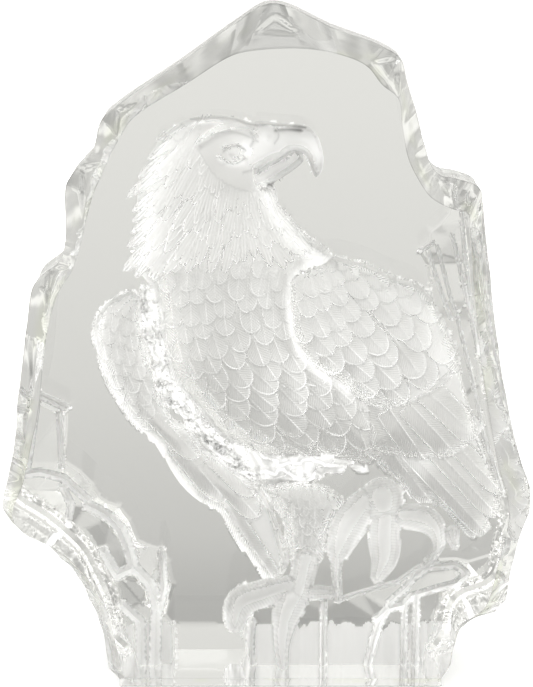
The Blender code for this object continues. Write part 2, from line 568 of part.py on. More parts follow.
def carving(x, y):
    """Depth of the carving from the block's back at places on the sheet."""
    laid = plumage()
    # The breast feathers lie flatter, hackles rise away from the face, and wings end in clean edges
    breast = np.interp(y, (270, 430), (0.35, 1.0)) * FEATHER_LIFT
    mane = HACKLE_LIFT * np.clip(-away(x, y, ring(FACE)) / MANE_WIDTH, 0, 1)
    low = np.where(y > 340, 3.0, 0.5)
    forms = [
        form(x, y, CUT, "flat", CUT_DEPTH),
        form(x, y, BETWEEN_FEET, "flat", BETWEEN_FEET_DEPTH),
        form(x, y, FAR_WING, "far_wing", FAR_WING_EDGE, FAR_WING_DOME, laid["far_wing"],
             0.8 * FEATHER_LIFT, 0.5),
        form(x, y, BELLY, "belly", BELLY_EDGE, BELLY_DOME, laid["belly"], reach=4),
        form(x, y, PRIMARIES, "primaries", PRIMARIES_EDGE, PRIMARIES_DOME, laid["primaries"],
             1.3 * FEATHER_LIFT, 4),
        form(x, y, SECONDARIES, "secondaries", SECONDARIES_EDGE, SECONDARIES_DOME,
             laid["secondaries"], reach=8),
        form(x, y, COVERTS, "coverts", COVERTS_EDGE, COVERTS_DOME, laid["coverts"], reach=low),
        form(x, y, THIGH, "thigh", THIGH_EDGE, THIGH_DOME, laid["thigh"], 0.5 * FEATHER_LIFT),
    ]
    body = form(x, y, BODY, "body", BODY_EDGE, BODY_DOME, laid["body"], breast, 3)
    chest = BODY_EDGE + BODY_DOME * round_over(away(x, y, ring(BODY)) / SHAPES["body"][0])
    past = np.where((y > CROWN_LINE) | (x < NAPE_LINE), HEAD_PAST, 0)
    head = form(x, y, HEAD, "head", HEAD_EDGE, HEAD_DOME, laid["hackles"], mane, past, chest)
    beak = np.maximum(
        form(x, y, UPPER_BEAK, "upper_beak", BEAK_EDGE + BEAK_DOME / 2, BEAK_DOME),
        form(x, y, LOWER_BEAK, "lower_beak", BEAK_EDGE, BEAK_DOME),
    )
    head = np.maximum(head, beak)
    forms += [body, np.where(head > HEAD_EDGE, head + features(x, y), head)]
    rocks = np.maximum(
        stone(x, y, RIGHT_ROCK_EDGE, RIGHT_ROCK_WITHIN, ROCK_DEPTH),
        stone(x, y, LEFT_ROCK_EDGE, LEFT_ROCK_WITHIN, ROCK_DEPTH),
    )
    forms.append(posts(x, y, rocks))
    forms.append(stone(x, y, SHARDS_EDGE, SHARDS_WITHIN, SHARD_DEPTH))
    forms += [limb(x, y, path, TOE_DEPTH, TOE_HALF_DEPTH) for path in TOES]

    # Below the foot line the back slopes in towards the underside
    foot = np.maximum(y - FOOT_LINE, 0) * SQUARE * FOOT_SLOPE
    return np.maximum.reduce(forms) + foot


WIDEST = spline(WIDEST_LINE, SIDE_STEPS)
SHEET_MIDDLE = (WIDEST[:, 0].min() + WIDEST[:, 0].max()) / 2
SQUARE = BLOCK_HEIGHT / (SHEET_FOOT - WIDEST[:, 1].min())


def front(z):
    """Where the polished front lies at a height."""
    return -BASE_DEPTH / 2 + (z - FOOT_CHAMFER) * math.tan(FRONT_LEAN)


def back(z):
    """Where the back lies at a height."""
    return BASE_DEPTH / 2 - z * math.tan(BACK_LEAN)


def on_block(points):
    """Sheet squares to metres across and up, for the block's outline."""
    p = np.array(points, float)
    across = (p[:, 0] - SHEET_MIDDLE) * SQUARE * ACROSS
    return np.stack([across, (SHEET_FOOT - p[:, 1]) * SQUARE], axis=1)


def carved(x, z):
    """Depth of the carving at a place on the back, by the sheet place where the front shows it.

    It stays clear of the sides by the rim's wall, but opens through the underside.
    """
    share = z / BLOCK_HEIGHT
    drop = SIGHT_DROP + SIGHT_FOOT_DROP * (SIGHT_LEVEL - share) ** 2
    spread = np.interp(share, (0, 1), SIGHT_SPREAD)
    depth = carving(SHEET_MIDDLE + x / (spread * SQUARE), SHEET_FOOT - (z + drop) / SQUARE)
    sides = on_block(WIDEST)
    below = -BLOCK_HEIGHT / 2
    sides = np.vstack([(sides[0][0], below), sides, (sides[-1][0], below)])
    return depth * np.clip((away(x, z, sides) - RIM_WALL) / WALL_DRAFT, 0, 1)


def cut_in(x, z, depth):
    """Where a place on the back comes to lie when it is cut in to a depth along its line of sight."""
    rise = np.interp(z / BLOCK_HEIGHT, (0, 1), SIGHT_RISE) * np.clip(z / FOOT_SETTLE, 0, 1)
    return x * (1 - SIGHT_NARROW * depth / BLOCK_HEIGHT), back(z) - depth, z + rise * depth


def inset(line, amount):
    """A side line drawn in towards the middle of the block, with its ends kept on the underside."""
    along = np.gradient(line, axis=0)
    along = along / np.linalg.norm(along, axis=1)[:, None]
    moved = line + amount * np.stack([along[:, 1], -along[:, 0]], axis=1)
    moved[0] = (line[0][0] + amount, 0)
    moved[-1] = (line[-1][0] - amount, 0)
    moved[:, 1] = np.maximum(moved[:, 1], 0)
    return moved


def build_block():
    """The closed solid: front, rim, sides, underside and the carved back."""
    widest = on_block(WIDEST)
    face = on_block(spline(FACE_LINE, SIDE_STEPS))
    face[0][1] = face[-1][1] = FOOT_CHAMFER
    widest[0][1] = widest[-1][1] = 0
    rear = inset(widest, BACK_CHAMFER)
    count = len(widest)
    swing = np.sin(np.pi * (np.arange(count) % SIDE_STEPS) / SIDE_STEPS)
    setback = RIM_SETBACK + SCALLOP_SETBACK * swing
    setback[0] = setback[-1] = FOOT_CHAMFER
    verts = [(x, front(z), z) for x, z in face]
    verts += [(x, front(z) + s, z) for (x, z), s in zip(widest, setback)]
    verts += [(x, back(z) - BACK_CHAMFER, z) for x, z in widest]
    rear_start = len(verts)

    # The back's outline: up the left side, over the top, down the right, then along the underside
    steps = int((rear[-1][0] - rear[0][0]) / BOTTOM_CELL)
    bottom = [(x, 0.0) for x in np.linspace(rear[-1][0], rear[0][0], steps)[1:-1]]
    outline = [tuple(p) for p in rear] + bottom
    xs = np.arange(rear[:, 0].min(), rear[:, 0].max(), CARVING_CELL)
    zs = np.arange(CARVING_CELL / 2, rear[:, 1].max(), CARVING_CELL * 0.866)
    grid_x, grid_z = np.meshgrid(xs, zs)
    grid_x[1::2] += CARVING_CELL / 2
    grid_x, grid_z = grid_x.ravel(), grid_z.ravel()
    keep = away(grid_x, grid_z, np.array(outline)) > CARVING_CELL * 0.6
    flat = [Vector(p) for p in outline] + [Vector(p) for p in zip(grid_x[keep], grid_z[keep])]
    placed, _, facets, _, _, _ = delaunay_2d_cdt(flat, [], [list(range(len(outline)))], 1, 1e-9)
    px = np.array([p[0] for p in placed])
    pz = np.array([p[1] for p in placed])
    depth = carved(px, pz)
    depth[:count] = 0
    verts += list(zip(*cut_in(px, pz, depth)))

    faces = [list(range(count))]
    for k in range(count - 1):
        for low, high in ((0, count), (count, 2 * count), (2 * count, rear_start)):
            faces.append([low + k, high + k, high + k + 1, low + k + 1])
    faces.append([0, count - 1, 2 * count - 1, count])
    faces += [[rear_start + k for k in facet] for facet in facets]

    # The underside, in one flat sheet from the front chamfer to the carved back
    edge = [count, 2 * count - 1, 3 * count - 1]
    edge += [rear_start + k for k in range(count - 1, len(outline))]
    edge += [rear_start, 2 * count]
    flat = [Vector((verts[k][0], verts[k][1])) for k in edge]
    placed, _, facets, origin, _, _ = delaunay_2d_cdt(flat, [], [list(range(len(edge)))], 1, 1e-9)
    names = [edge[o[0]] for o in origin]
    faces += [[names[k] for k in facet] for facet in facets]

    mesh = bpy.data.meshes.new("crystal_eagle_block")
    mesh.from_pydata([tuple(map(float, v)) for v in verts], [], faces)
    shaped = bmesh.new()
    shaped.from_mesh(mesh)
    bmesh.ops.triangulate(shaped, faces=shaped.faces[:])
    bmesh.ops.recalc_face_normals(shaped, faces=shaped.faces[:])
    shaped.to_mesh(mesh)
    shaped.free()
    return mesh


def crystal():
    """Clear lead crystal."""
    material = bpy.data.materials.new("lead_crystal")
    material.use_nodes = True
    shader = material.node_tree.nodes["Principled BSDF"]
    shader.inputs["Base Color"].default_value = (0.93, 0.94, 0.92, 1)
    shader.inputs["Roughness"].default_value = 0.06
    shader.inputs["Metallic"].default_value = 0.0
    shader.inputs["IOR"].default_value = 1.54
    shader.inputs["Transmission Weight"].default_value = 1.0
    return material


block = bpy.data.objects.new("crystal_eagle_block", build_block())
bpy.context.scene.collection.objects.link(block)
block.data.materials.append(crystal())

# Only the carved back is thinned: the front, rim and sides come first in the mesh and keep their facets
FIRST_CARVED = 4 * len(WIDEST)
carved_back = block.vertex_groups.new(name="carved_back")
carved_back.add(range(FIRST_CARVED, len(block.data.vertices)), 1.0, "REPLACE")
thinned = block.modifiers.new("thinned", "DECIMATE")
thinned.ratio = FACETS / len(block.data.polygons)
thinned.vertex_group = "carved_back"
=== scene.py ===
"""The crystal eagle block, dressed: fine carving, hewn rim, clear and frosted crystal.

Metres, Z up, the polished front faces -Y. The outline and the carving are drawn on a sheet of
squares as seen from the front: x runs right and y runs down to the block's foot.
"""

import math

import bmesh
import bpy
import numpy as np
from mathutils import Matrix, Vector
from mathutils.geometry import delaunay_2d_cdt


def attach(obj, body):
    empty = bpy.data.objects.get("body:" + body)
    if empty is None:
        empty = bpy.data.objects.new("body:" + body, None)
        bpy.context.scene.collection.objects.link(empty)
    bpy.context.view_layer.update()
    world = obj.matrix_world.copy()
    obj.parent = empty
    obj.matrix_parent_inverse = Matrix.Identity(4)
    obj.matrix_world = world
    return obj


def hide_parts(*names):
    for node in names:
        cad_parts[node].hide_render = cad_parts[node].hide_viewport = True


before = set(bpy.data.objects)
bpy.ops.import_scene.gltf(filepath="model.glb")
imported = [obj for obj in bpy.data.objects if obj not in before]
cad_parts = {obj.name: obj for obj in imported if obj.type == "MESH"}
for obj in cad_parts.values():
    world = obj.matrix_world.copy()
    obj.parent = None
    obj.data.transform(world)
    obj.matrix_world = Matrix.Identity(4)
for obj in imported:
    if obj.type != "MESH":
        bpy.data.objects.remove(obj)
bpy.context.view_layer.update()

MM = 0.001

# The block, as its solid has it
BLOCK_HEIGHT = 170 * MM
BASE_DEPTH = 44 * MM
FRONT_LEAN = math.radians(5)
BACK_LEAN = math.radians(3)
RIM_SETBACK = 7 * MM
SCALLOP_SETBACK = 2.5 * MM
FULL_SCALLOP = 12 * MM
FOOT_CHAMFER = 3 * MM
BACK_CHAMFER = 1.2 * MM
RIM_WALL = 2.2 * MM
WALL_DRAFT = 0.8 * MM

# The carving, as depths from the back of the block, and what stands out of its forms
FAR_WING_EDGE = 4 * MM
FAR_WING_DOME = 4 * MM
BODY_EDGE = 7 * MM
BODY_DOME = 8 * MM
BELLY_EDGE = 7 * MM
BELLY_DOME = 4 * MM
COVERTS_EDGE = 12.5 * MM
COVERTS_DOME = 5 * MM
SECONDARIES_EDGE = 11 * MM
SECONDARIES_DOME = 4 * MM
PRIMARIES_EDGE = 9 * MM
PRIMARIES_DOME = 3.5 * MM
HEAD_EDGE = 6 * MM
HEAD_DOME = 6.5 * MM
CUT_DEPTH = 2.5 * MM
BETWEEN_FEET_DEPTH = 11 * MM
BEAK_EDGE = 6 * MM
BEAK_DOME = 3.5 * MM
THIGH_EDGE = 13 * MM
THIGH_DOME = 5 * MM
TOE_DEPTH = 24 * MM
TOE_HALF_DEPTH = 5 * MM
ROCK_DEPTH = 18 * MM
SHARD_DEPTH = 11 * MM
FEATHER_LIFT = 0.8 * MM
HACKLE_LIFT = 1.3 * MM
FEATHER_ROLL = 0.45 * MM
SHAFT_HEIGHT = 0.2 * MM
POST_HEIGHT = 2.2 * MM
FOOT_SLOPE = 0.36

# Relief finer than the solid's: the torn cut, the struck facets, and the streaks of the rim and
# the sides
CUT_TEAR = 1.6 * MM
FACET_CUT = 1.4 * MM
RIM_STREAK = 0.16 * MM
SIDE_STREAK = 0.25 * MM
STRIP_CUT = 0.9 * MM

# Lines of sight through the polished front, from a little above its middle, at the foot and at the
# top: how far they fall, spread out and rise on their way to the back
ACROSS = 1.012
SIGHT_DROP = 0.57 * MM
SIGHT_FOOT_DROP = 9.26 * MM
SIGHT_LEVEL = 0.982
SIGHT_SPREAD = (1.059, 0.999)
SIGHT_RISE = (0.254, 0.074)
SIGHT_NARROW = 0.185
SIGHT_ROUNDS = 12
FOOT_SETTLE = 6 * MM

# How finely the surfaces are cut, in metres
CARVING_CELL = 0.5 * MM
FIELD_CELL = 2.4 * MM
BOTTOM_CELL = 0.5 * MM
EDGE_STEP_SEEN = 0.12 * MM
EDGE_MARGIN = 0.3 * MM

# The same, in squares of the sheet
EDGE_STEP = 1.7
FINE_STEP = 1.2
EDGE_GAP = 0.55
CARVING_MARGIN = 7
TOE_MARGIN = 8
SHEET_MARGIN = 60
SHEET_SPAN = 900

# As shares of a six-sided cell: how far apart rows lie and how far in from an outline they start
HEX_ROW = 0.866
HEX_MARGIN = 0.6

# Steps that smooth lines take from one of their points to the next, rings of the rim and of the
# sides, and the angle from which an edge is sharp
OUTLINE_STEPS = 4
TOE_STEPS = 5
SIDE_STEPS = 12
RIM_RINGS = 16
SIDE_RINGS = 12
SHARP_FROM = math.radians(38)

# Finishes, and marks of what isn't a feather
CLEAR, FROSTED = 0, 1
BARE = -1
POST = -2
TORN = -3
FIRST_TOE = -4

# On the maps: far from every edge, the middle of a lock, and where the toes' own count starts
FAR_IN = 30.0
LOCK_MIDDLE = 140.0
TOE_ALONG = 340.0

# Walls, ridges and borders on the sheet, in squares
SHEET_FOOT = 685.5
FOOT_LINE = 624.0
FOOT_SPAN = (100, 480)
BARE_STRIP = (176, 252)
STONE_WALL = 3.0
FACET_WALL = 4
TEAR_BESIDE = 2.0
TEAR_STEP = 2.2
HEAD_PAST = 8.0
CROWN_LINE = 150
NAPE_LINE = 165
MANE_PART = 245
MANE_WIDTH = 45
SHAFT_HALF_WIDTH = 1.1
TOE_FULL = 16
TOE_FLANK = 4.5
TORN_FOOT = 480
COVERTS_TUCKED = 340
SIDE_STRIP_TOP = 395

# Shares: of a toe's half width, of a feather's lift, and of its width
TOE_CROWN = 0.86
TOE_REACH = 1.08
TOE_THIN = 0.45
FEATHER_SWELL = 0.2
SHAFT_START = 0.15

# How pale the satin is, from rough clear glass at 0 to white at 1, and how dark its lines are
SATIN_PALE = 0.25
# TOE_PALE is the toes' grey core; painted highlights whiten their flanks up to white
TOE_PALE = 0.5
TORN_PALE = 0.85
TORN_CELLS = 0.5
# Painted shadow beside the torn edges and along the seams, and random dark crumbs on the cut
TEAR_PAINTED_SHADOW = 0.5
CRUMB_DARK = 0.4
SEAM_PAINTED_SHADOW = 0.24
SEAM_SHADOW_SHARE = {"head": 0.3, "thigh": 0.4, "far_wing": 0.5}

# The crystal's refractive index, and the lamps: place and size in metres, power, and whether the
# clear crystal shows them
GLASS_INDEX = 1.54
LAMPS = (
    ("overhead", (0.1, -0.2, 1.1), 0.8, 3, True),
    ("left", (-0.8, -0.3, 0.5), 0.6, 1.6, True),
    ("behind left", (-0.9, 0.8, 0.5), 0.5, 6, False),
    ("behind right", (0.9, 0.8, 0.5), 0.5, 6, False),
    ("behind", (0, 1.1, 0.25), 0.5, 5, False),
)

# The camera: how far off and how high it is, the share of the block's height that it looks at, the
# picture's height as a share of the block's, and its sensor in millimetres
CAMERA_DISTANCE = 600 * MM
CAMERA_RISE = math.radians(12)
CAMERA_AIM = 0.4968
PICTURE_HEIGHT = 1.0241
SENSOR = 24

# The tent that lights the block, and the grey window in it behind the block: how steeply a ray
# climbs, and how bright it is there
TENT = ((-1.0, 1.3), (-0.3, 1.3), (0.2, 1.35), (1.0, 1.45))
WINDOW = (
    (-1.0, 1.3), (-0.85, 1.2), (-0.76, 0.85), (-0.6, 0.78), (-0.5, 0.6), (-0.44, 0.34),
    (-0.393, 0.39), (-0.365, 0.51), (-0.30, 0.63), (-0.245, 0.68), (-0.19, 0.725), (-0.145, 0.75),
    (0.0, 0.76), (0.38, 0.73), (0.6, 0.8),
)
WARMTH = (1, 0.993, 0.955)

# The widest line of the block, from the left foot up over the top to the right foot
WIDEST_LINE = [
    (119, 685.5), (108, 673), (105, 656), (99, 627), (88, 601), (77, 578), (60, 559), (37, 539),
    (11, 521), (2, 506), (9, 470), (15, 437), (18, 400), (27, 330), (36, 280), (61, 257),
    (67, 240), (69, 180), (84, 159), (94, 148), (105, 115), (122, 100), (181, 60), (238, 19),
    (266, 2), (285, 3), (330, 24), (382, 44), (399, 56), (405, 78), (414, 107), (423, 140),
    (431, 163), (440, 171), (459, 175), (478, 184), (481, 199), (489, 270), (498, 343), (506, 391),
    (521, 456), (531, 486), (531, 510), (516, 559), (508, 601), (497, 614), (468, 627), (459, 640),
    (453, 669), (443, 685.5),
]

# The edge of the polished face inside the rim, point for point with the widest line
FACE_LINE = [
    (126, 674), (122, 666), (119, 652), (114, 628), (107, 601), (93, 576), (76, 556), (58, 541),
    (25, 524), (15, 508), (27, 470), (34, 437), (42, 400), (50, 330), (61, 287), (77, 259),
    (84, 238), (97, 188), (107, 165), (114, 149), (124, 130), (137, 111), (191, 76), (231, 51),
    (248, 46), (300, 43), (338, 49), (364, 60), (379, 78), (395, 92), (399, 120), (405, 150),
    (415, 171), (427, 188), (446, 199), (463, 204), (466, 222), (470, 275), (477, 343), (485, 395),
    (496, 455), (506, 492), (507, 512), (498, 553), (486, 598), (476, 608), (459, 620), (453, 645),
    (448, 664), (441, 674),
]

# The eagle's forms
FAR_WING = [
    (134, 291), (119, 295), (107, 303), (98, 316), (94, 328), (95, 340), (99, 355), (108, 383),
    (119, 400), (128, 416), (143, 431), (161, 448), (168, 464), (181, 484), (201, 502), (220, 510),
    (229, 524), (240, 543), (253, 559), (272, 582), (286, 572), (280, 540), (272, 512), (262, 492),
    (240, 474), (220, 458), (203, 447), (190, 427), (175, 420), (163, 400), (156, 373), (146, 342),
    (142, 315), (143, 299),
]
BODY = [
    (150, 262), (158, 301), (165, 342), (174, 377), (193, 402), (207, 419), (223, 437), (240, 446),
    (256, 456), (275, 463), (297, 464), (319, 464), (345, 466), (372, 472), (385, 460), (390, 430),
    (370, 340), (335, 258), (309, 240), (280, 220), (220, 215), (170, 230),
]
BELLY = [
    (236, 444), (250, 462), (258, 476), (268, 492), (290, 500), (312, 502), (335, 508), (350, 512),
    (372, 506), (386, 484), (380, 460), (340, 430), (280, 420),
]
CUT = [
    (140, 286), (146, 342), (163, 400), (190, 427), (222, 460), (262, 486), (330, 500), (352, 512),
    (340, 480), (255, 450), (207, 412), (176, 370), (166, 330), (158, 280),
]
BETWEEN_FEET = [
    (270, 500), (286, 560), (262, 594), (244, 634), (256, 662), (345, 640), (470, 590), (500, 545),
    (504, 500), (480, 470), (380, 450), (330, 470),
]
COVERTS = [
    (335, 257), (322, 262), (310, 266), (295, 273), (289, 281), (288, 301), (289, 317), (293, 338),
    (298, 351), (310, 368), (322, 375), (338, 383), (348, 390), (360, 400), (380, 408), (400, 409),
    (420, 405), (440, 391), (458, 372), (459, 358), (452, 336), (442, 313), (430, 295), (423, 288),
    (412, 282), (400, 279), (376, 268), (358, 261),
]
SECONDARIES = [
    (345, 385), (358, 400), (366, 414), (368, 430), (371, 446), (380, 452), (409, 458), (431, 460),
    (456, 455), (472, 444), (479, 436), (472, 411), (466, 386), (459, 360), (440, 370), (400, 380),
]
PRIMARIES = [
    (374, 440), (378, 466), (398, 480), (412, 500), (440, 506), (456, 524), (472, 538), (486, 534),
    (497, 516), (502, 493), (489, 458), (481, 436), (440, 420),
]
HEAD = [
    (252, 122), (236, 117), (215, 115), (191, 118), (177, 124), (160, 138), (151, 158), (143, 176),
    (138, 193), (138, 211), (138, 224), (136, 236), (134, 250), (133, 262), (140, 272), (150, 284),
    (172, 300), (215, 306), (260, 300), (300, 285), (334, 258), (319, 246), (302, 233), (292, 221),
    (284, 212), (276, 202), (271, 190), (263, 184), (262, 160), (264, 140), (263, 124),
]
FACE = [
    (200, 122), (262, 118), (266, 160), (268, 186), (250, 192), (226, 184), (208, 168), (198, 145),
]
UPPER_BEAK = [
    (254, 122), (277, 122), (290, 123), (307, 126), (317, 134), (322, 147), (324, 161), (321, 173),
    (316, 177), (312, 170), (309, 160), (302, 152), (290, 151), (283, 157), (273, 160), (257, 169),
    (244, 171), (248, 150),
]
LOWER_BEAK = [
    (244, 173), (257, 169), (273, 160), (284, 155), (290, 150), (297, 149), (303, 153), (304, 160),
    (302, 163), (292, 171), (283, 177), (271, 184), (262, 188), (252, 186),
]
THIGH = [
    (262, 486), (274, 508), (281, 519), (284, 533), (285, 544), (289, 551), (289, 565), (295, 574),
    (303, 571), (312, 567), (324, 562), (328, 552), (329, 537), (336, 526), (349, 512), (345, 497),
    (325, 484), (290, 480),
]

# Lines that the rows of feathers run between, from the root of each group to its tips
FAR_WING_LEFT = [
    (122, 300), (98, 316), (95, 340), (108, 383), (128, 416), (161, 448), (181, 484), (220, 510),
    (238, 540),
]
FAR_WING_RIGHT = [
    (146, 300), (146, 342), (163, 400), (190, 427), (220, 458), (250, 485), (268, 512), (278, 540),
]
BODY_LEFT = [(155, 262), (160, 310), (170, 365), (195, 405), (225, 440), (262, 462), (300, 470)]
BODY_RIGHT = [(316, 246), (296, 280), (294, 330), (312, 370), (345, 390), (368, 420), (385, 470)]
COVERTS_LEFT = [(306, 266), (290, 285), (290, 320), (300, 352), (325, 376), (352, 394), (384, 412)]
COVERTS_RIGHT = [(345, 258), (376, 266), (405, 279), (430, 294), (446, 320), (455, 345), (460, 376)]
HACKLES_LEFT = [
    (226, 120), (191, 119), (165, 136), (150, 158), (138, 180), (133, 205), (131, 235), (126, 272),
]
HACKLES_RIGHT = [(262, 166), (268, 186), (274, 202), (284, 219), (300, 238), (318, 262)]
THIGH_LEFT = [(268, 486), (282, 512), (287, 540), (291, 572)]
THIGH_RIGHT = [(346, 492), (340, 515), (330, 535), (324, 562)]

# Long feathers set one by one: tip (x, y), heading in degrees below right, length, width
FAR_WING_LONG = [
    (199, 457, 47, 60, 26), (226, 500, 50, 74, 27), (256, 495, 44, 60, 24), (259, 517, 48, 74, 24),
    (252, 552, 57, 84, 22), (266, 566, 56, 90, 20), (276, 582, 58, 96, 18),
]
SECONDARIES_LONG = [
    (478, 437, 43, 72, 28), (376, 457, 66, 60, 22), (463, 461, 48, 78, 31), (431, 467, 55, 72, 30),
    (397, 465, 60, 70, 31),
]
PRIMARIES_LONG = [
    (504, 494, 47, 90, 20), (499, 516, 47, 110, 22), (490, 536, 47, 124, 22),
    (474, 541, 48, 120, 23), (457, 527, 49, 110, 23), (438, 509, 51, 90, 24),
    (412, 498, 54, 70, 24),
]

# Pointed locks that stand out of the head's outline: tip (x, y), heading, length, width
NAPE_LOCKS = [
    (157, 141, 140, 30, 9), (149, 159, 137, 32, 9), (139, 178, 135, 34, 10),
    (129, 196, 137, 38, 11), (133, 212, 135, 34, 10), (133, 222, 136, 32, 8),
    (132, 233, 138, 34, 9), (128, 247, 138, 40, 11), (124, 272, 130, 46, 12),
    (136, 277, 122, 42, 11), (153, 280, 119, 46, 11), (166, 273, 117, 44, 10),
    (187, 272, 114, 48, 12), (211, 262, 108, 46, 11),
]

# Toes, claws and shins, as (x, y, half width) along each
TOES = [
    [(306, 560, 14), (303, 575, 12), (299, 592, 13)],
    [(292, 586, 11), (262, 595, 14), (241, 604, 14), (235, 622, 9)],
    [(293, 600, 16), (286, 617, 14), (282, 636, 9), (284, 648, 5)],
    [(312, 592, 7), (331, 593, 6)],
    [(383, 499, 22), (384, 505, 21)],
    [(366, 502, 14), (349, 524, 18), (340, 546, 13), (337, 562, 6), (339, 600, 4)],
    [(387, 508, 14), (385, 535, 16), (385, 558, 14), (378, 577, 7)],
    [(404, 516, 12), (425, 519, 13), (437, 530, 10), (439, 548, 5), (428, 564, 3)],
    [(452, 533, 8), (455, 545, 5)],
]

# Rocks and shards as corners (x, y, share of that stone's depth): the edge in order, then within
RIGHT_ROCK_EDGE = [
    (259, 700, 0.9), (256, 662, 0.9), (246, 634, 0.88), (256, 610, 0.92), (300, 602, 0.95),
    (344, 598, 0.94), (362, 592, 0.93), (398, 582, 0.93), (418, 568, 0.95), (437, 561, 0.95),
    (456, 560, 0.94), (469, 563, 0.86), (508, 551, 0.86), (500, 600, 0.86), (477, 611, 0.88),
    (462, 620, 0.92), (449, 676, 0.9), (447, 700, 0.9), (430, 700, 0.89), (410, 700, 0.93),
    (385, 700, 0.89), (352, 700, 0.93), (324, 700, 0.94), (285, 700, 0.9),
]
RIGHT_ROCK_WITHIN = [
    (272, 645, 0.92), (390, 602, 0.97), (406, 588, 0.98), (377, 619, 0.97), (388, 609, 1.0),
    (404, 605, 0.99), (414, 596, 1.0), (438, 588, 1.0), (457, 583, 1.0), (466, 573, 0.99),
    (430, 573, 0.93), (452, 570, 0.92), (324, 612, 0.95), (300, 655, 0.9), (345, 650, 0.89),
    (385, 655, 0.9), (432, 640, 0.9), (472, 600, 0.86),
]
LEFT_ROCK_EDGE = [
    (128, 700, 0.82), (124, 664, 0.82), (112, 625, 0.82), (106, 599, 0.82), (98, 586, 0.82),
    (78, 566, 0.84), (65, 542, 0.84), (30, 522, 0.76), (16, 504, 0.76), (22, 476, 0.74),
    (26, 462, 0.66), (36, 402, 0.56), (40, 393, 0.5), (67, 406, 0.45), (66, 414, 0.45),
    (64, 462, 0.66), (79, 472, 0.66), (92, 485, 0.68), (98, 497, 0.74), (106, 503, 0.74),
    (118, 507, 0.74), (129, 521, 0.76), (137, 541, 0.78), (149, 547, 0.78), (162, 550, 0.76),
    (168, 562, 0.76), (172, 584, 0.77), (168, 600, 0.77), (164, 615, 0.78), (172, 625, 0.8),
    (174, 700, 0.8), (162, 700, 0.84), (146, 700, 0.88),
]
LEFT_ROCK_WITHIN = [
    (59, 415, 0.6), (39, 404, 0.6), (60, 462, 0.72), (36, 490, 0.82), (63, 487, 0.92),
    (71, 504, 0.92), (66, 537, 0.9), (88, 505, 0.86), (110, 517, 0.9), (121, 529, 0.93),
    (129, 548, 0.96), (104, 552, 0.88), (117, 575, 0.92), (134, 567, 0.95), (150, 584, 0.96),
    (157, 604, 0.96), (141, 603, 0.86), (154, 566, 0.84), (142, 640, 0.94), (124, 606, 0.85),
    (118, 624, 0.86), (160, 650, 0.86),
]
SHARDS_EDGE = [
    (430, 264, 0.84), (422, 250, 0.9), (431, 243, 0.95), (433, 232, 0.94), (443, 224, 1.0),
    (451, 214, 0.9), (454, 203, 0.84), (464, 208, 0.84), (470, 262, 0.86), (475, 321, 0.86),
    (480, 385, 0.86), (487, 425, 0.86), (494, 455, 0.86), (503, 490, 0.86), (500, 508, 0.86),
    (480, 470, 0.86), (470, 438, 0.86), (460, 400, 0.86), (446, 345, 0.86), (436, 316, 0.86),
]
SHARDS_WITHIN = [
    (438, 253, 0.96), (452, 236, 0.98), (450, 300, 0.92), (464, 300, 0.93), (460, 222, 0.94),
    (466, 345, 0.9), (474, 385, 0.9), (482, 425, 0.89), (490, 460, 0.89),
]

# Splinters among the shards: half width, path
SPLINTERS = [
    (2.4, [(429, 251), (438, 281), (451, 318)]),
    (2.4, [(438, 246), (450, 293), (457, 313), (470, 368), (484, 433), (506, 499)]),
    (2.4, [(453, 236), (461, 270), (468, 302), (480, 355), (488, 400)]),
    (2.4, [(422, 250), (433, 243)]),
    (2.4, [(462, 212), (466, 262), (472, 312)]),
    (2.4, [(448, 330), (462, 385), (478, 440), (496, 490)]),
]

# Torn edges of the deep cut round the breast
TEARS = [
    [(144, 292), (145, 336), (151, 369), (163, 400), (173, 404), (177, 419), (188, 424),
     (201, 442), (211, 446), (221, 457), (229, 459), (243, 472), (252, 474)],
    [(160, 330), (166, 356), (174, 376), (190, 388), (200, 408), (211, 418), (234, 436),
     (254, 444), (267, 459), (281, 464), (297, 463), (312, 460), (325, 465), (344, 466),
     (356, 470)],
    [(252, 474), (264, 470), (275, 474), (284, 469), (295, 477), (302, 482), (312, 478),
     (317, 474), (325, 480), (335, 488), (344, 502), (352, 511)],
    [(176, 404), (188, 420), (206, 436), (222, 448), (240, 460)],
    [(284, 500), (281, 516), (286, 530), (286, 546), (292, 556), (292, 570)],
]

# Satin posts and edges of the rocks: half width, path
POSTS = [
    (4.2, [(324, 604), (323, 692)]),
    (4.6, [(388, 609), (374, 634), (350, 692)]),
    (3.8, [(405, 606), (403, 692)]),
    (4.4, [(417, 596), (415, 692)]),
    (3.8, [(458, 582), (460, 600), (459, 618), (449, 690)]),
    (3.0, [(344, 598), (362, 592), (398, 582), (418, 568), (437, 561)]),
    (4.4, [(388, 610), (390, 602), (406, 588), (415, 577), (428, 567), (456, 565), (466, 572)]),
    (4.4, [(377, 619), (388, 609), (404, 605), (412, 596), (438, 588), (457, 583), (466, 575)]),
    (5.0, [(252, 622), (250, 640), (256, 660), (258, 692)]),
    (3.4, [(59, 414), (62, 466)]),
    (4.4, [(39, 395), (66, 407)]),
    (5.0, [(36, 402), (31, 440), (26, 470)]),
    (5.0, [(26, 474), (40, 472), (64, 478), (88, 500)]),
    (4.4, [(63, 487), (71, 504), (66, 540)]),
    (6.5, [(88, 505), (110, 517), (121, 529), (129, 548), (134, 567), (150, 584), (157, 604),
           (155, 650), (150, 692)]),
    (6.0, [(104, 552), (117, 575), (134, 567)]),
    (5.0, [(162, 552), (164, 590), (158, 612)]),
    (6.0, [(124, 606), (141, 622), (140, 690)]),
]

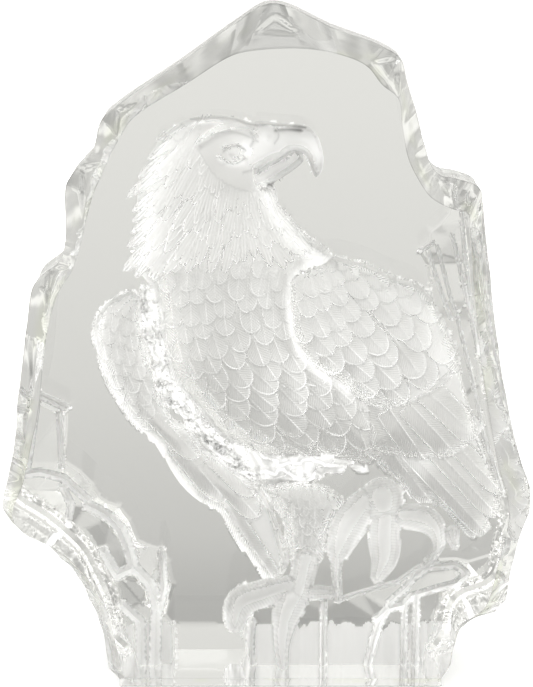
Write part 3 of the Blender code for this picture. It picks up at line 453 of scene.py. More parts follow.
# Flat triangles struck off the rim, each as its corners on the sheet
RIM_FACETS = [
    [(252, 30), (275, 11), (309, 33)],
    [(118, 104), (141, 98), (119, 144)],
    [(82, 160), (107, 155), (88, 244)],
    [(47, 262), (74, 258), (50, 308)],
    [(368, 56), (398, 52), (396, 92)],
    [(28, 330), (48, 334), (34, 400)],
    [(430, 168), (456, 174), (452, 200)],
    [(484, 220), (472, 260), (486, 330)],
]

# Ridges of the face: line, height, half width
FACE_RIDGES = (
    ([(200, 143), (214, 134), (230, 129), (246, 129), (260, 133)], 1.0 * MM, 4.0),
    ([(219, 156), (226, 162), (236, 162), (244, 157)], 0.6 * MM, 1.6),
    ([(224, 147), (232, 143), (241, 145), (247, 150)], 0.5 * MM, 1.4),
    ([(276, 127), (278, 134), (275, 142)], 0.4 * MM, 2.0),
    ([(223, 181), (243, 187), (262, 184)], 0.5 * MM, 9.0),
)
EYE = (235, 152)
EYE_HEIGHT = 0.9 * MM
SOCKET_DEPTH = 1.0 * MM
NOSTRIL = (268, 138)
NOSTRIL_DEPTH = 0.6 * MM
EYE_HALF_WIDTH = 5.5
EYE_STRETCH = 1.15
SOCKET_HALF_WIDTH = 11
NOSTRIL_HALF_WIDTH = 2.5

# Painted highlights on the satin, or painted shade where negative: line, half width, by how much
PAINTED_LIGHT_AND_SHADE = (
    ([(176, 132), (164, 142), (152, 161), (146, 180), (142, 200), (142, 225), (140, 250),
      (132, 270)], 22, 0.42),
    ([(190, 121), (215, 118), (240, 122), (262, 126)], 5, 0.15),
    ([(268, 193), (277, 212), (289, 229), (301, 243), (318, 255), (333, 262)], 11, 0.8),
    ([(302, 128), (314, 137), (320, 150), (322, 168)], 8, 0.8),
    ([(262, 126), (264, 134), (258, 142)], 4, 0.4),
    ([(243, 144), (249, 151)], 3, 0.5),
    ([(219, 158), (230, 164), (243, 162)], 2, 0.4),
    ([(134, 293), (114, 300), (100, 316), (98, 340), (104, 362), (112, 384), (122, 401),
      (132, 416), (148, 431), (164, 450), (172, 466), (185, 486), (203, 503), (222, 512),
      (232, 526), (243, 545), (256, 561), (273, 581)], 5, 0.5),
    ([(320, 262), (300, 270), (291, 284), (290, 310), (294, 336), (301, 352), (314, 368),
      (330, 379), (348, 391)], 3.5, 0.5),
    ([(392, 286), (412, 296), (428, 312), (437, 335), (440, 360)], 14, 0.25),
    ([(262, 488), (276, 512), (286, 545), (290, 572)], 3, 0.4),
    ([(350, 512), (336, 526), (330, 545), (325, 562)], 3, 0.4),
    ([(250, 146), (275, 138), (300, 140)], 16, 0.3),
    ([(212, 152), (222, 176), (240, 192)], 18, -0.12),
    ([(262, 200), (270, 222), (280, 245), (300, 262)], 7, -0.2),
    ([(282, 262), (283, 300), (290, 345)], 9, -0.12),
    ([(222, 190), (215, 240), (225, 300), (235, 360)], 45, -0.16),
    ([(300, 500), (305, 560)], 26, -0.2),
    ([(196, 405), (236, 436), (300, 452), (366, 462)], 36, -0.3),
    ([(130, 320), (132, 370), (160, 420), (200, 460)], 10, -0.1),
    ([(330, 400), (352, 430), (372, 462)], 12, -0.15),
)

# Painted shade lines of the face, the crown and the cut's cells: line, half width, strength
PAINTED_SHADE_LINES = (
    ([(244, 172), (262, 167), (278, 160), (288, 152), (299, 151), (309, 160),
      (316, 175)], 1.3, 0.5),
    ([(270, 184), (283, 177), (299, 167), (304, 161)], 2.2, 1.0),
    ([(191, 119), (215, 117), (236, 119), (251, 124), (283, 125), (306, 127)], 1.2, 0.7),
    ([(276, 130), (288, 129), (301, 130)], 1.8, 1.0),
    ([(212, 134), (228, 131), (246, 135), (258, 141)], 1.3, 0.4),
    ([(224, 151), (231, 146), (240, 146), (246, 150)], 1.3, 0.6),
    ([(221, 157), (228, 162), (238, 163), (246, 158)], 1.1, 0.5),
    ([(251, 131), (254, 138), (251, 146)], 1.6, 0.5),
    ([(277, 128), (279, 136), (275, 143)], 1.2, 0.4),
    ([(201, 433), (207, 441)], 2.4, 0.45),
    ([(217, 444), (225, 452)], 2.4, 0.45),
    ([(231, 450), (239, 458), (246, 468)], 2.6, 0.45),
    ([(251, 453), (260, 468)], 2.8, 0.45),
)

# Each form: its outline, depth at the edge, rise of its dome, how far in it is rounded over and how
# wide its wall is, then how far its feathers lift and how far they may pass its outline
FORMS = {
    "far_wing": (FAR_WING, FAR_WING_EDGE, FAR_WING_DOME, 30, 4, 0.8 * FEATHER_LIFT, 0.5),
    "belly": (BELLY, BELLY_EDGE, BELLY_DOME, 40, 3, FEATHER_LIFT, 4),
    "body": (BODY, BODY_EDGE, BODY_DOME, 62, 6, FEATHER_LIFT, 3),
    "primaries": (PRIMARIES, PRIMARIES_EDGE, PRIMARIES_DOME, 34, 3, 1.3 * FEATHER_LIFT, 4),
    "secondaries": (SECONDARIES, SECONDARIES_EDGE, SECONDARIES_DOME, 40, 3, FEATHER_LIFT, 8),
    "coverts": (COVERTS, COVERTS_EDGE, COVERTS_DOME, 34, 4, FEATHER_LIFT, 3.0),
    "thigh": (THIGH, THIGH_EDGE, THIGH_DOME, 26, 4, 0.5 * FEATHER_LIFT, 1.0),
    "upper_beak": (UPPER_BEAK, BEAK_EDGE + BEAK_DOME / 2, BEAK_DOME, 15, 3, 0, 0),
    "lower_beak": (LOWER_BEAK, BEAK_EDGE, BEAK_DOME, 12, 3, 0, 0),
    "head": (HEAD, HEAD_EDGE, HEAD_DOME, 46, 4, HACKLE_LIFT, HEAD_PAST),
    "cut": (CUT, CUT_DEPTH, 0, 10, 4, 0, 0),
    "between_feet": (BETWEEN_FEET, BETWEEN_FEET_DEPTH, 0, 10, 4, 0, 0),
}

# Each stone: its edge, its corners within and its depth
STONES = (
    (RIGHT_ROCK_EDGE, RIGHT_ROCK_WITHIN, ROCK_DEPTH),
    (LEFT_ROCK_EDGE, LEFT_ROCK_WITHIN, ROCK_DEPTH),
    (SHARDS_EDGE, SHARDS_WITHIN, SHARD_DEPTH),
)


def spline(points, steps):
    """Points along a smooth open line through the given ones, at `steps` to a stretch."""
    p = np.array(points, float)
    p = np.vstack([2 * p[0] - p[1], p, 2 * p[-1] - p[-2]])
    line = []
    for a, b, c, d in zip(p, p[1:], p[2:], p[3:]):
        gaps = [max(np.linalg.norm(q - r), 1e-6) ** 0.5 for q, r in ((b, a), (c, b), (d, c))]
        knots = np.cumsum([0] + gaps)
        for t in np.linspace(knots[1], knots[2], steps, endpoint=False):
            ab = a + (b - a) * (t - knots[0]) / (knots[1] - knots[0])
            bc = b + (c - b) * (t - knots[1]) / (knots[2] - knots[1])
            cd = c + (d - c) * (t - knots[2]) / (knots[3] - knots[2])
            abc = ab + (bc - ab) * (t - knots[0]) / (knots[2] - knots[0])
            bcd = bc + (cd - bc) * (t - knots[1]) / (knots[3] - knots[1])
            line.append(abc + (bcd - abc) * (t - knots[1]) / (knots[2] - knots[1]))
    line.append(p[-2])
    return np.array(line)


def ring(points, steps=OUTLINE_STEPS):
    """The same, closed."""
    p = [tuple(q) for q in points]
    return spline(p[-2:] + p + p[:2], steps)[2 * steps:-2 * steps - 1]


def nearest_on(x, y, ax, ay, bx, by):
    """Share along a stretch that lies nearest each place, and the distance to it."""
    ex, ey = bx - ax, by - ay
    along = np.clip(((x - ax) * ex + (y - ay) * ey) / (ex * ex + ey * ey + 1e-12), 0, 1)
    return along, np.hypot(x - ax - along * ex, y - ay - along * ey)


def gap_to(x, y, line, most=1e9):
    """Distance of each place from a line, up to the `most` that counts."""
    gap = np.full(x.shape, most)
    for (ax, ay), (bx, by) in zip(line, line[1:]):
        gap = np.minimum(gap, nearest_on(x, y, ax, ay, bx, by)[1])
    return gap


def bell(gap, half_width):
    """1 on a line, falling off smoothly beside it."""
    return np.exp(-(gap / half_width) ** 2)


def away(x, y, polygon):
    """Distance of each place inside a closed outline from its edge, negative outside."""
    nearest = np.full(x.shape, 1e9)
    inside = np.zeros(x.shape, bool)
    for (ax, ay), (bx, by) in zip(polygon, np.roll(polygon, -1, axis=0)):
        nearest = np.minimum(nearest, nearest_on(x, y, ax, ay, bx, by)[1])
        if ay != by:
            crossed = (ay > y) != (by > y)
            inside ^= crossed & (x < ax + (y - ay) * (bx - ax) / (by - ay))
    return np.where(inside, nearest, -nearest)


def round_over(share):
    """A quarter circle: 0 at the edge, 1 from one width in."""
    return np.sqrt(np.clip(1 - (1 - np.clip(share, 0, 1)) ** 2, 0, 1))


def ripple(x, y, seed=0):
    """Smooth uneven waves on a plane, -1 to 1, one to each unit."""
    left, top = np.floor(x), np.floor(y)
    u, v = x - left, y - top
    u, v = u * u * (3 - 2 * u), v * v * (3 - 2 * v)

    def corner(i, j):
        wild = np.sin((left + i) * 127.1 + (top + j) * 311.7 + seed * 74.7) * 43758.5453
        return 2 * (wild - np.floor(wild)) - 1

    upper = corner(0, 0) * (1 - u) + corner(1, 0) * u
    lower = corner(0, 1) * (1 - u) + corner(1, 1) * u
    return upper * (1 - v) + lower * v


def run_of(line):
    """How far along a line each of its places lies."""
    return np.concatenate([[0], np.cumsum(np.hypot(*np.diff(line, axis=0).T))])


def places_at(line, run, at):
    """Places at distances along a line."""
    return np.stack([np.interp(at, run, line[:, 0]), np.interp(at, run, line[:, 1])], axis=1)


def evenly_spaced(line, step):
    """A line's places at even steps along it."""
    line = np.array(line, float)
    run = run_of(line)
    return places_at(line, run, np.linspace(0, run[-1], max(2, int(run[-1] / step) + 1)))


def evenly(points, shares):
    """Places at shares of the length of a smooth line."""
    line = spline(points, 8)
    run = run_of(line)
    return places_at(line, run, np.array(shares) * run[-1])


def aside_of(line, least=1e-9):
    """The direction to the left of a line on the sheet, at each of its places."""
    along = np.gradient(line, axis=0)
    along = along / (np.linalg.norm(along, axis=1)[:, None] + least)
    return np.stack([along[:, 1], -along[:, 0]], axis=1)


def beside(line, *gaps):
    """Lines beside a line, at distances to its left."""
    aside = aside_of(line)
    return [line + gap * aside for gap in gaps]


def turned(corners):
    """A closed outline at even steps, with its outside to the left."""
    line = evenly_spaced(np.vstack([corners, corners[:1]]), EDGE_STEP)
    x, y = line.T
    return line if np.sum(x[:-1] * y[1:] - x[1:] * y[:-1]) > 0 else line[::-1]


def heading_of(degrees):
    """A heading's share across and its share down."""
    return math.cos(math.radians(degrees)), math.sin(math.radians(degrees))


class Feather:
    """One feather with its tip at a place, pointing along `heading` in degrees below right."""

    laid = []

    def __init__(
        self, x, y, heading, length, width, point=0.7, roll=0.0, curl=0.0, shaft=SHAFT_HEIGHT
    ):
        self.x, self.y, self.length, self.width = x, y, length, width
        self.point, self.roll, self.curl, self.shaft = point, roll, curl, shaft
        self.cos, self.sin = heading_of(heading)
        self.number = len(Feather.laid)
        Feather.laid.append(self)

    def lies(self, x, y):
        """How far places lie back from its tip, and to the side of where it points."""
        x, y = x - self.x, y - self.y
        return -x * self.cos - y * self.sin, y * self.cos - x * self.sin

    def bend(self, back):
        """How far its shaft has swung aside at a distance back from the tip."""
        return self.curl * (back / self.length) ** 2

    def half_at(self, back):
        """Half its width at a distance back from the tip."""
        return self.width / 2 * round_over(back / (self.width * self.point)) + 1e-6

    def inward(self, back, side):
        """Roughly how far inside its edge a place lies, in squares."""
        tip, half = self.width * self.point, self.width / 2
        along = np.clip(1 - back / tip, 0, None)
        share = np.sqrt(along ** 2 + (side / half) ** 2) + 1e-6
        fall = np.sqrt((along / tip) ** 2 + (side / half ** 2) ** 2) / share + 1e-6
        return (1 - share) / fall

    def raise_skin(self, x, y, lift, lying, skin, owner):
        """Lifts `skin` where the feather covers it, and marks it as its own there."""
        reach = self.length + self.width
        near = np.flatnonzero((abs(x - self.x) < reach) & (abs(y - self.y) < reach))
        back, side = self.lies(x[near], y[near])
        side = side - self.bend(back)
        share = side / self.half_at(back)
        here = lift[near] if np.ndim(lift) else lift
        raised = here * (1 - back / self.length) + FEATHER_SWELL * here * (1 - share ** 2)
        raised = raised + self.roll * (1 + share)
        shaft = self.shaft * bell(side, SHAFT_HALF_WIDTH)
        raised = raised + shaft * (back > self.width * SHAFT_START)
        raised = raised + lying[near]
        covered = (back > 0) & (back < self.length) & (abs(share) < 1) & (raised > skin[near])
        skin[near[covered]] = raised[covered]
        owner[near[covered]] = self.number

    def edge(self, gap):
        """Places along its edge, `gap` squares outside it."""
        back = np.linspace(0, 1, 40) ** 1.6 * self.length * 0.8
        half = self.half_at(back)
        flanks = [np.stack([back, turn * half], axis=1)[::-turn] for turn in (-1, 1)]
        line = evenly_spaced(np.vstack(flanks), EDGE_STEP)
        line = beside(line, gap)[0]
        back = line[:, 0]
        side = line[:, 1] + self.bend(np.maximum(back, 0))
        return np.stack([
            self.x - back * self.cos - side * self.sin, self.y - back * self.sin + side * self.cos
        ], axis=1)


def stray_of(row, column):
    """Two uneven numbers, -1 to 1, for a feather in a row: how it wanders and how it strays."""
    return math.sin(12.9 * row + 7.7 * column), math.sin(5.1 * column + 3.3 * row)


def rows_between(left, right, shares, width, overlap=2.3):
    """Rows of overlapping feathers between two lines, their tips at `shares` of the way along them.

    `width` is the feathers' width in the first and the last row, and each row is set off by half a
    feather from the one before it.
    """
    shares = np.array(shares)
    a, b = evenly(left, shares), evenly(right, shares)
    a2, b2 = evenly(left, shares - 0.06), evenly(right, shares - 0.06)
    laid = []
    for row, share in enumerate(shares):
        run = math.dist(a[row], b[row])
        size = np.interp(share, (shares[0], shares[-1]), width)
        count = max(2, round(run / size))
        before = row - 1 if row else 1
        gap = math.dist((a[row] + b[row]) / 2, (a[before] + b[before]) / 2)
        for column in range(count + 1):
            wander, stray = stray_of(row, column)
            across = (column + 0.5 * (row % 2) + 0.12 * wander) / count
            tip = a[row] + (b[row] - a[row]) * across
            root = a2[row] + (b2[row] - a2[row]) * across
            heading = math.degrees(math.atan2(tip[1] - root[1], tip[0] - root[0])) + 3 * wander
            tip = tip + (tip - root) / math.dist(tip, root) * gap * 0.12 * stray
            laid.append(Feather(*tip, heading, gap * overlap, 1.1 * size))
    return laid


def singly(feathers, point):
    """Long feathers set one by one, each rolled over the next."""
    return [Feather(*feather, point, FEATHER_ROLL) for feather in feathers]


def lock_heading(x, y):
    """Which way the hackles flow at a place on the head: back, or down the throat in front."""
    if x > MANE_PART:
        return 90 - 38 * min((x - MANE_PART) / 45, 1)
    return 90 + 42 * min((MANE_PART - x) / 100, 1) + 12 * min(max((180 - y) / 60, 0), 1)


def locks():
    """Long pointed hackles, tips spread unevenly down the head and over its outline."""
    laid = []
    shares = np.array([0.36, 0.46, 0.56, 0.66, 0.75, 0.84, 0.93, 1.02])
    a = evenly(HACKLES_LEFT, shares)
    b = evenly(HACKLES_RIGHT, np.clip(shares * 1.02 - 0.08, 0.02, 1))
    for row, share in enumerate(shares):
        width = 9.0 + 4.0 * share
        count = round(math.dist(a[row], b[row]) / (width * 0.92))
        for column in range(1, count + 1):
            wander, stray = stray_of(row, column)
            across = (column + 0.5 * (row % 2) + 0.2 * wander) / (count + 0.5)
            x, y = a[row] + (b[row] - a[row]) * across
            heading = lock_heading(x, y) + 5 * wander
            x += 6 * stray * heading_of(heading)[0]
            y += 9 * stray * heading_of(heading)[1]
            curl = (-7 if x < MANE_PART else 7) * (0.6 + 0.4 * stray)
            if y > CROWN_LINE or x < NAPE_LINE:
                laid.append(Feather(x, y, heading, 44 + 16 * share, width, 2.6, 0.0, curl, 0.0))
    for lock in NAPE_LOCKS:
        laid.append(Feather(*lock, 2.2, 0.0, -5, 0.0))
    return laid


# Every group of feathers, by the form that carries it
PLUMAGE = {
    "far_wing": rows_between(
        FAR_WING_LEFT, FAR_WING_RIGHT, np.linspace(0.08, 0.5, 9), (12, 17), 2.6
    ) + singly(FAR_WING_LONG, 0.8),
    "body": rows_between(BODY_LEFT, BODY_RIGHT, np.linspace(0.05, 0.97, 15), (17, 30)),
    "belly": rows_between(BODY_LEFT, BODY_RIGHT, np.linspace(0.8, 1.04, 4), (22, 26)),
    "coverts": rows_between(
        COVERTS_LEFT, COVERTS_RIGHT, np.linspace(0.1, 1.0, 9) ** 0.95, (15, 31)
    ),
    "secondaries": singly(SECONDARIES_LONG, 0.5),
    "primaries": singly(PRIMARIES_LONG, 1.1),
    "head": locks(),
    "thigh": rows_between(THIGH_LEFT, THIGH_RIGHT, np.linspace(0.15, 0.98, 8), (12, 11)),
}
WIDEST = spline(WIDEST_LINE, SIDE_STEPS)
SHEET_MIDDLE = (WIDEST[:, 0].min() + WIDEST[:, 0].max()) / 2
SQUARE = BLOCK_HEIGHT / (SHEET_FOOT - WIDEST[:, 1].min())


def form(x, y, name, lift=None, reach=None, under=None):
    """A rounded form with a steep wall inside its outline, covered with feathers where it has them.

    The feathers may pass its outline by `reach`, and the form swells over what lies `under` it.
    Gives its depth and the feather at each place.
    """
    outline, edge, dome, rounding, wall, usual_lift, usual_reach = FORMS[name]
    inward = away(x, y, ring(outline))
    top = edge + dome * round_over(inward / rounding)
    if under is not None:
        top = np.where(inward > 0, np.maximum(top, under), top)
    skin = top.copy()
    owner = np.full(x.shape, BARE)
    for feather in PLUMAGE.get(name, ()):
        feather.raise_skin(x, y, usual_lift if lift is None else lift, top, skin, owner)
    past = np.where(skin > top, usual_reach if reach is None else reach, 0)
    return skin * np.clip((inward + past) / wall, 0, 1), owner


def along_toe(x, y, path):
    """Stretch by stretch of a toe: its half width where it lies nearest each place, and the gap."""
    line = spline(path, TOE_STEPS)
    for (ax, ay, ar), (bx, by, br) in zip(line, line[1:]):
        along, gap = nearest_on(x, y, ax, ay, bx, by)
        yield ar + (br - ar) * along, gap


def limb(x, y, path):
    """A round toe or shin that follows a path and tapers with it."""
    skin = np.zeros(x.shape)
    for radius, gap in along_toe(x, y, path):
        share = gap / radius / TOE_CROWN
        size = TOE_THIN + (1 - TOE_THIN) * radius / TOE_FULL
        top = TOE_DEPTH - TOE_HALF_DEPTH * (1 - size * np.sqrt(np.clip(1 - share ** 2, 0, 1)))
        wall = np.clip((TOE_REACH - gap / radius) / (TOE_REACH - TOE_CROWN), 0, 1)
        skin = np.maximum(skin, np.where(share < 1, top, (TOE_DEPTH - TOE_HALF_DEPTH) * wall))
    return skin


def joined(places, around, least=1e-6):
    """Flat places joined to triangles inside an outline, which is the first `around` of them.

    Gives the places, the lines between them, the triangles and which place each one was.
    """
    flat = [Vector(place[:2]) for place in places]
    return delaunay_2d_cdt(flat, [], [list(range(around))], 1, least)[:4]


def stone(x, y, edge, within, depth):
    """Flat facets between corners, each at its share of the depth, with a steep wall round them."""
    corners = edge + within
    _, _, facets, _ = joined(corners, len(edge))
    skin = np.zeros(x.shape)
    for facet in facets:
        (ax, ay, ad), (bx, by, bd), (cx, cy, cd) = (corners[k] for k in facet)
        whole = (bx - ax) * (cy - ay) - (cx - ax) * (by - ay)
        wb = ((x - ax) * (cy - ay) - (cx - ax) * (y - ay)) / whole
        wc = ((bx - ax) * (y - ay) - (x - ax) * (by - ay)) / whole
        inside = (wb >= -1e-9) & (wc >= -1e-9) & (wb + wc <= 1 + 1e-9)
        top = depth * (ad + wb * (bd - ad) + wc * (cd - ad))
        skin = np.where(inside, np.maximum(skin, top), skin)
    for (ax, ay, ad), (bx, by, bd) in zip(edge, edge[1:] + edge[:1]):
        along, gap = nearest_on(x, y, ax, ay, bx, by)
        top = depth * (ad + (bd - ad) * along)
        skin = np.maximum(skin, top * np.clip(1 - gap / STONE_WALL, 0, 1))
    return skin


def posts(x, y, rock, paths):
    """Narrow satin ridges on clear rocks: the depth there, its mark and its finish."""
    ridge = np.zeros(x.shape)
    for half_width, path in paths:
        ridge = np.maximum(ridge, np.clip(1 - gap_to(x, y, path) / half_width, 0, 1))
    satin = ridge > 0.1
    depth = np.where(rock > 0, rock + POST_HEIGHT * ridge, 0)
    return depth, np.where(satin, POST, BARE), np.where(satin, FROSTED, CLEAR)


def features(x, y):
    """The face's ridges, eye and nostril, added to the head and the beak."""
    added = np.zeros(x.shape)
    for path, height, half_width in FACE_RIDGES:
        gap = gap_to(x, y, spline(path, OUTLINE_STEPS))
        added = np.maximum(added, height * bell(gap, half_width))
    from_eye = np.hypot((x - EYE[0]) / EYE_STRETCH, y - EYE[1])
    socket = SOCKET_DEPTH * bell(from_eye, SOCKET_HALF_WIDTH)
    ball = EYE_HEIGHT * np.sqrt(np.clip(1 - (from_eye / EYE_HALF_WIDTH) ** 2, 0, 1))
    nostril = NOSTRIL_DEPTH * bell(np.hypot(x - NOSTRIL[0], y - NOSTRIL[1]), NOSTRIL_HALF_WIDTH)
    return added - socket + ball - nostril


def torn_cut(x, y):
    """The deep cut round the breast, its edge and its skin torn."""
    torn_x = x + 4 * ripple(x / 9, y / 7, 6) + 1.5 * ripple(x / 3, y / 3, 7)
    torn_y = y + 4 * ripple(x / 8, y / 9, 8)
    tear = CUT_TEAR * (ripple(x / 5, y / 9, 9) + 0.7 * ripple(x / 2.3, y / 2.6, 10))
    cut = form(torn_x, torn_y, "cut")[0]
    return np.where(cut > 0, np.maximum(cut + tear, 0), 0)


def head_and_beak(x, y):
    """The head with its hackles, swelling over the chest, and the beak and the face on it."""
    mane = HACKLE_LIFT * np.clip(-away(x, y, ring(FACE)) / MANE_WIDTH, 0, 1)
    chest = BODY_EDGE + BODY_DOME * round_over(away(x, y, ring(BODY)) / FORMS["body"][3])
    past = np.where((y > CROWN_LINE) | (x < NAPE_LINE), HEAD_PAST, 0)
    head, owner = form(x, y, "head", mane, past, chest)
    beak = np.maximum(form(x, y, "upper_beak")[0], form(x, y, "lower_beak")[0])
    owner = np.where(beak > head, BARE, owner)
    head = np.maximum(head, beak)
    return np.where(head > HEAD_EDGE, head + features(x, y), head), owner


def carving(x, y):
    """Depth of the carving at places on the sheet, the finish there and the feather, if any."""
    forms = [(np.zeros(x.shape), BARE, CLEAR)]

    def add(depth, owner, finish=FROSTED):
        forms.append((depth, owner, finish))

    # The breast feathers lie flatter, and the coverts pass their outline over the secondaries only
    breast = np.interp(y, (270, 430), (0.35, 1.0)) * FEATHER_LIFT
    past = np.where(y > COVERTS_TUCKED, FORMS["coverts"][6], 0.5)
    add(torn_cut(x, y), TORN)
    add(*form(x, y, "between_feet"), CLEAR)
    add(*form(x, y, "far_wing"))
    add(form(x, y, "belly")[0], TORN)
    add(*form(x, y, "primaries"))
    add(*form(x, y, "secondaries"))
    add(*form(x, y, "coverts", reach=past))
    add(*form(x, y, "thigh"))
    add(*form(x, y, "body", breast))
    add(*head_and_beak(x, y))
    right, left, shards = (stone(x, y, *shape) for shape in STONES)
    rocks = np.maximum(right, left)
    add(*posts(x, y, rocks, POSTS))
    add(*posts(x, y, shards, SPLINTERS))
    for number, path in enumerate(TOES):
        add(limb(x, y, path), FIRST_TOE - number)

    depths, owners, finishes = (
        np.array([np.broadcast_to(kind, x.shape) for kind in kinds]) for kinds in zip(*forms)
    )
    at = depths.argmax(axis=0), np.arange(len(x))
    ragged = np.where((x < BARE_STRIP[0]) | (x > BARE_STRIP[1]), 5 * ripple(x / 4, y / 40, 11), 0)
    foot_line = FOOT_LINE + ragged
    foot = np.maximum(y - foot_line, 0) * SQUARE * FOOT_SLOPE
    finish = np.where((rocks > 0) & (y > foot_line), FROSTED, finishes[at])
    return depths[at] + foot, finish, owners[at]


def torn_line(path):
    """A torn edge as a ragged line."""
    line = evenly_spaced(path, TEAR_STEP)
    x, y = line.T
    return line + TEAR_STEP * np.stack([ripple(x / 4, y / 4, 12), ripple(x / 4, y / 4, 13)], axis=1)


def to_tears(x, y):
    """Distance of each place from the nearest torn edge."""
    return np.minimum.reduce([gap_to(x, y, torn_line(path), FAR_IN) for path in TEARS])


def tones(x, y, owner):
    """Satin paleness at places on the sheet, with painted light and shade, and painted shade lines.
    """
    pale = np.full(x.shape, SATIN_PALE)
    # Painted highlights, and painted shade where the strength is negative, along lines on the satin
    for path, half_width, strength in PAINTED_LIGHT_AND_SHADE:
        pale += strength * bell(gap_to(x, y, spline(path, OUTLINE_STEPS)), half_width)
    torn = owner == TORN
    below = np.clip((x - 235) / 40, 0, 1)
    cells = np.clip(ripple(x / 6, y / 7, 15) * 2.5 - 0.8 + below * 0.9, 0, 1)
    pale = np.where(torn & (y < TORN_FOOT), TORN_PALE - TORN_CELLS * cells, pale)
    pale = np.where(owner == POST, 1.0, pale)
    # Painted highlights whiten each toe's flanks, its core staying greyer
    for number, path in enumerate(TOES):
        flanks = [radius * TOE_REACH - gap for radius, gap in along_toe(x, y, path)]
        within = np.maximum.reduce(flanks)
        rounded = TOE_PALE + (1 - TOE_PALE) * bell(np.maximum(within, -9), TOE_FLANK)
        pale = np.where(owner == FIRST_TOE - number, rounded, pale)
    # Painted shade lines in the creases of the face, the crown and round the cut's cells
    dark = np.zeros(x.shape)
    for path, half_width, strength in PAINTED_SHADE_LINES:
        gap = gap_to(x, y, spline(path, OUTLINE_STEPS))
        dark = np.maximum(dark, strength * bell(gap, half_width))
    # Painted shadow a little beside each torn edge, and random dark crumbs towards the right of the
    # cut
    tears = to_tears(x, y)
    crumbs = below * np.clip(ripple(x / 4, y / 4, 16) * 2 + 0.35, 0, 1)
    crumbs = crumbs * np.clip(tears / 2 - 0.5, 0, 1)
    crumbs_and_tear_shadow = np.maximum(TEAR_PAINTED_SHADOW * bell(tears - TEAR_BESIDE, 0.7), CRUMB_DARK * crumbs)
    return pale, np.maximum(dark, crumbs_and_tear_shadow * torn * (y < TORN_FOOT + 4))


def front(z):
    """Where the polished front lies at a height."""
    return -BASE_DEPTH / 2 + (z - FOOT_CHAMFER) * math.tan(FRONT_LEAN)


def back(z):
    """Where the back lies at a height."""
    return BASE_DEPTH / 2 - z * math.tan(BACK_LEAN)


def on_block(points):
    """Sheet squares to metres across and up, for the block's outline."""
    x, y = np.array(points, float).T
    return np.stack([(x - SHEET_MIDDLE) * SQUARE * ACROSS, (SHEET_FOOT - y) * SQUARE], axis=1)


def sight_drop(z):
    """How far a line of sight falls on its way to the back, at the height where it gets there."""
    return SIGHT_DROP + SIGHT_FOOT_DROP * (SIGHT_LEVEL - z / BLOCK_HEIGHT) ** 2


def sight_spread(z):
    """How far apart lines of sight have spread when they reach the back at a height."""
    return np.interp(z / BLOCK_HEIGHT, (0, 1), SIGHT_SPREAD)


def on_sheet(x, z):
    """The sheet place at which a place on the block's back is seen through the front."""
    return SHEET_MIDDLE + x / (sight_spread(z) * SQUARE), SHEET_FOOT - (z + sight_drop(z)) / SQUARE


def on_back(x, y):
    """The place on the block's back that is seen at a place on the sheet."""
    seen = (SHEET_FOOT - y) * SQUARE
    z = seen
    for _ in range(SIGHT_ROUNDS):
        z = seen - sight_drop(z)
    return (x - SHEET_MIDDLE) * SQUARE * sight_spread(z), z


def cut_in(x, z, depth):
    """Where a place on the back comes to lie when it is cut in along its line of sight."""
    rise = np.interp(z / BLOCK_HEIGHT, (0, 1), SIGHT_RISE) * np.clip(z / FOOT_SETTLE, 0, 1)
    return x * (1 - SIGHT_NARROW * depth / BLOCK_HEIGHT), back(z) - depth, z + rise * depth


def inset(line, amount):
    """A side line drawn in towards the middle of the block, its ends kept on the underside."""
    amount = np.broadcast_to(amount, len(line))
    moved = line + amount[:, None] * aside_of(line, 0)
    moved[0] = (line[0][0] + amount[0], 0)
    moved[-1] = (line[-1][0] - amount[-1], 0)
    moved[:, 1] = np.maximum(moved[:, 1], 0)
    return moved


def struck_facets(line):
    """How far in each struck facet of the rim is cut along one of its lines, from 0 to 1."""
    x, y = line[:, 0] / (SQUARE * ACROSS) + SHEET_MIDDLE, SHEET_FOOT - line[:, 1] / SQUARE
    return [np.clip(away(x, y, np.array(facet, float)) / FACET_WALL, 0, 1) for facet in RIM_FACETS]


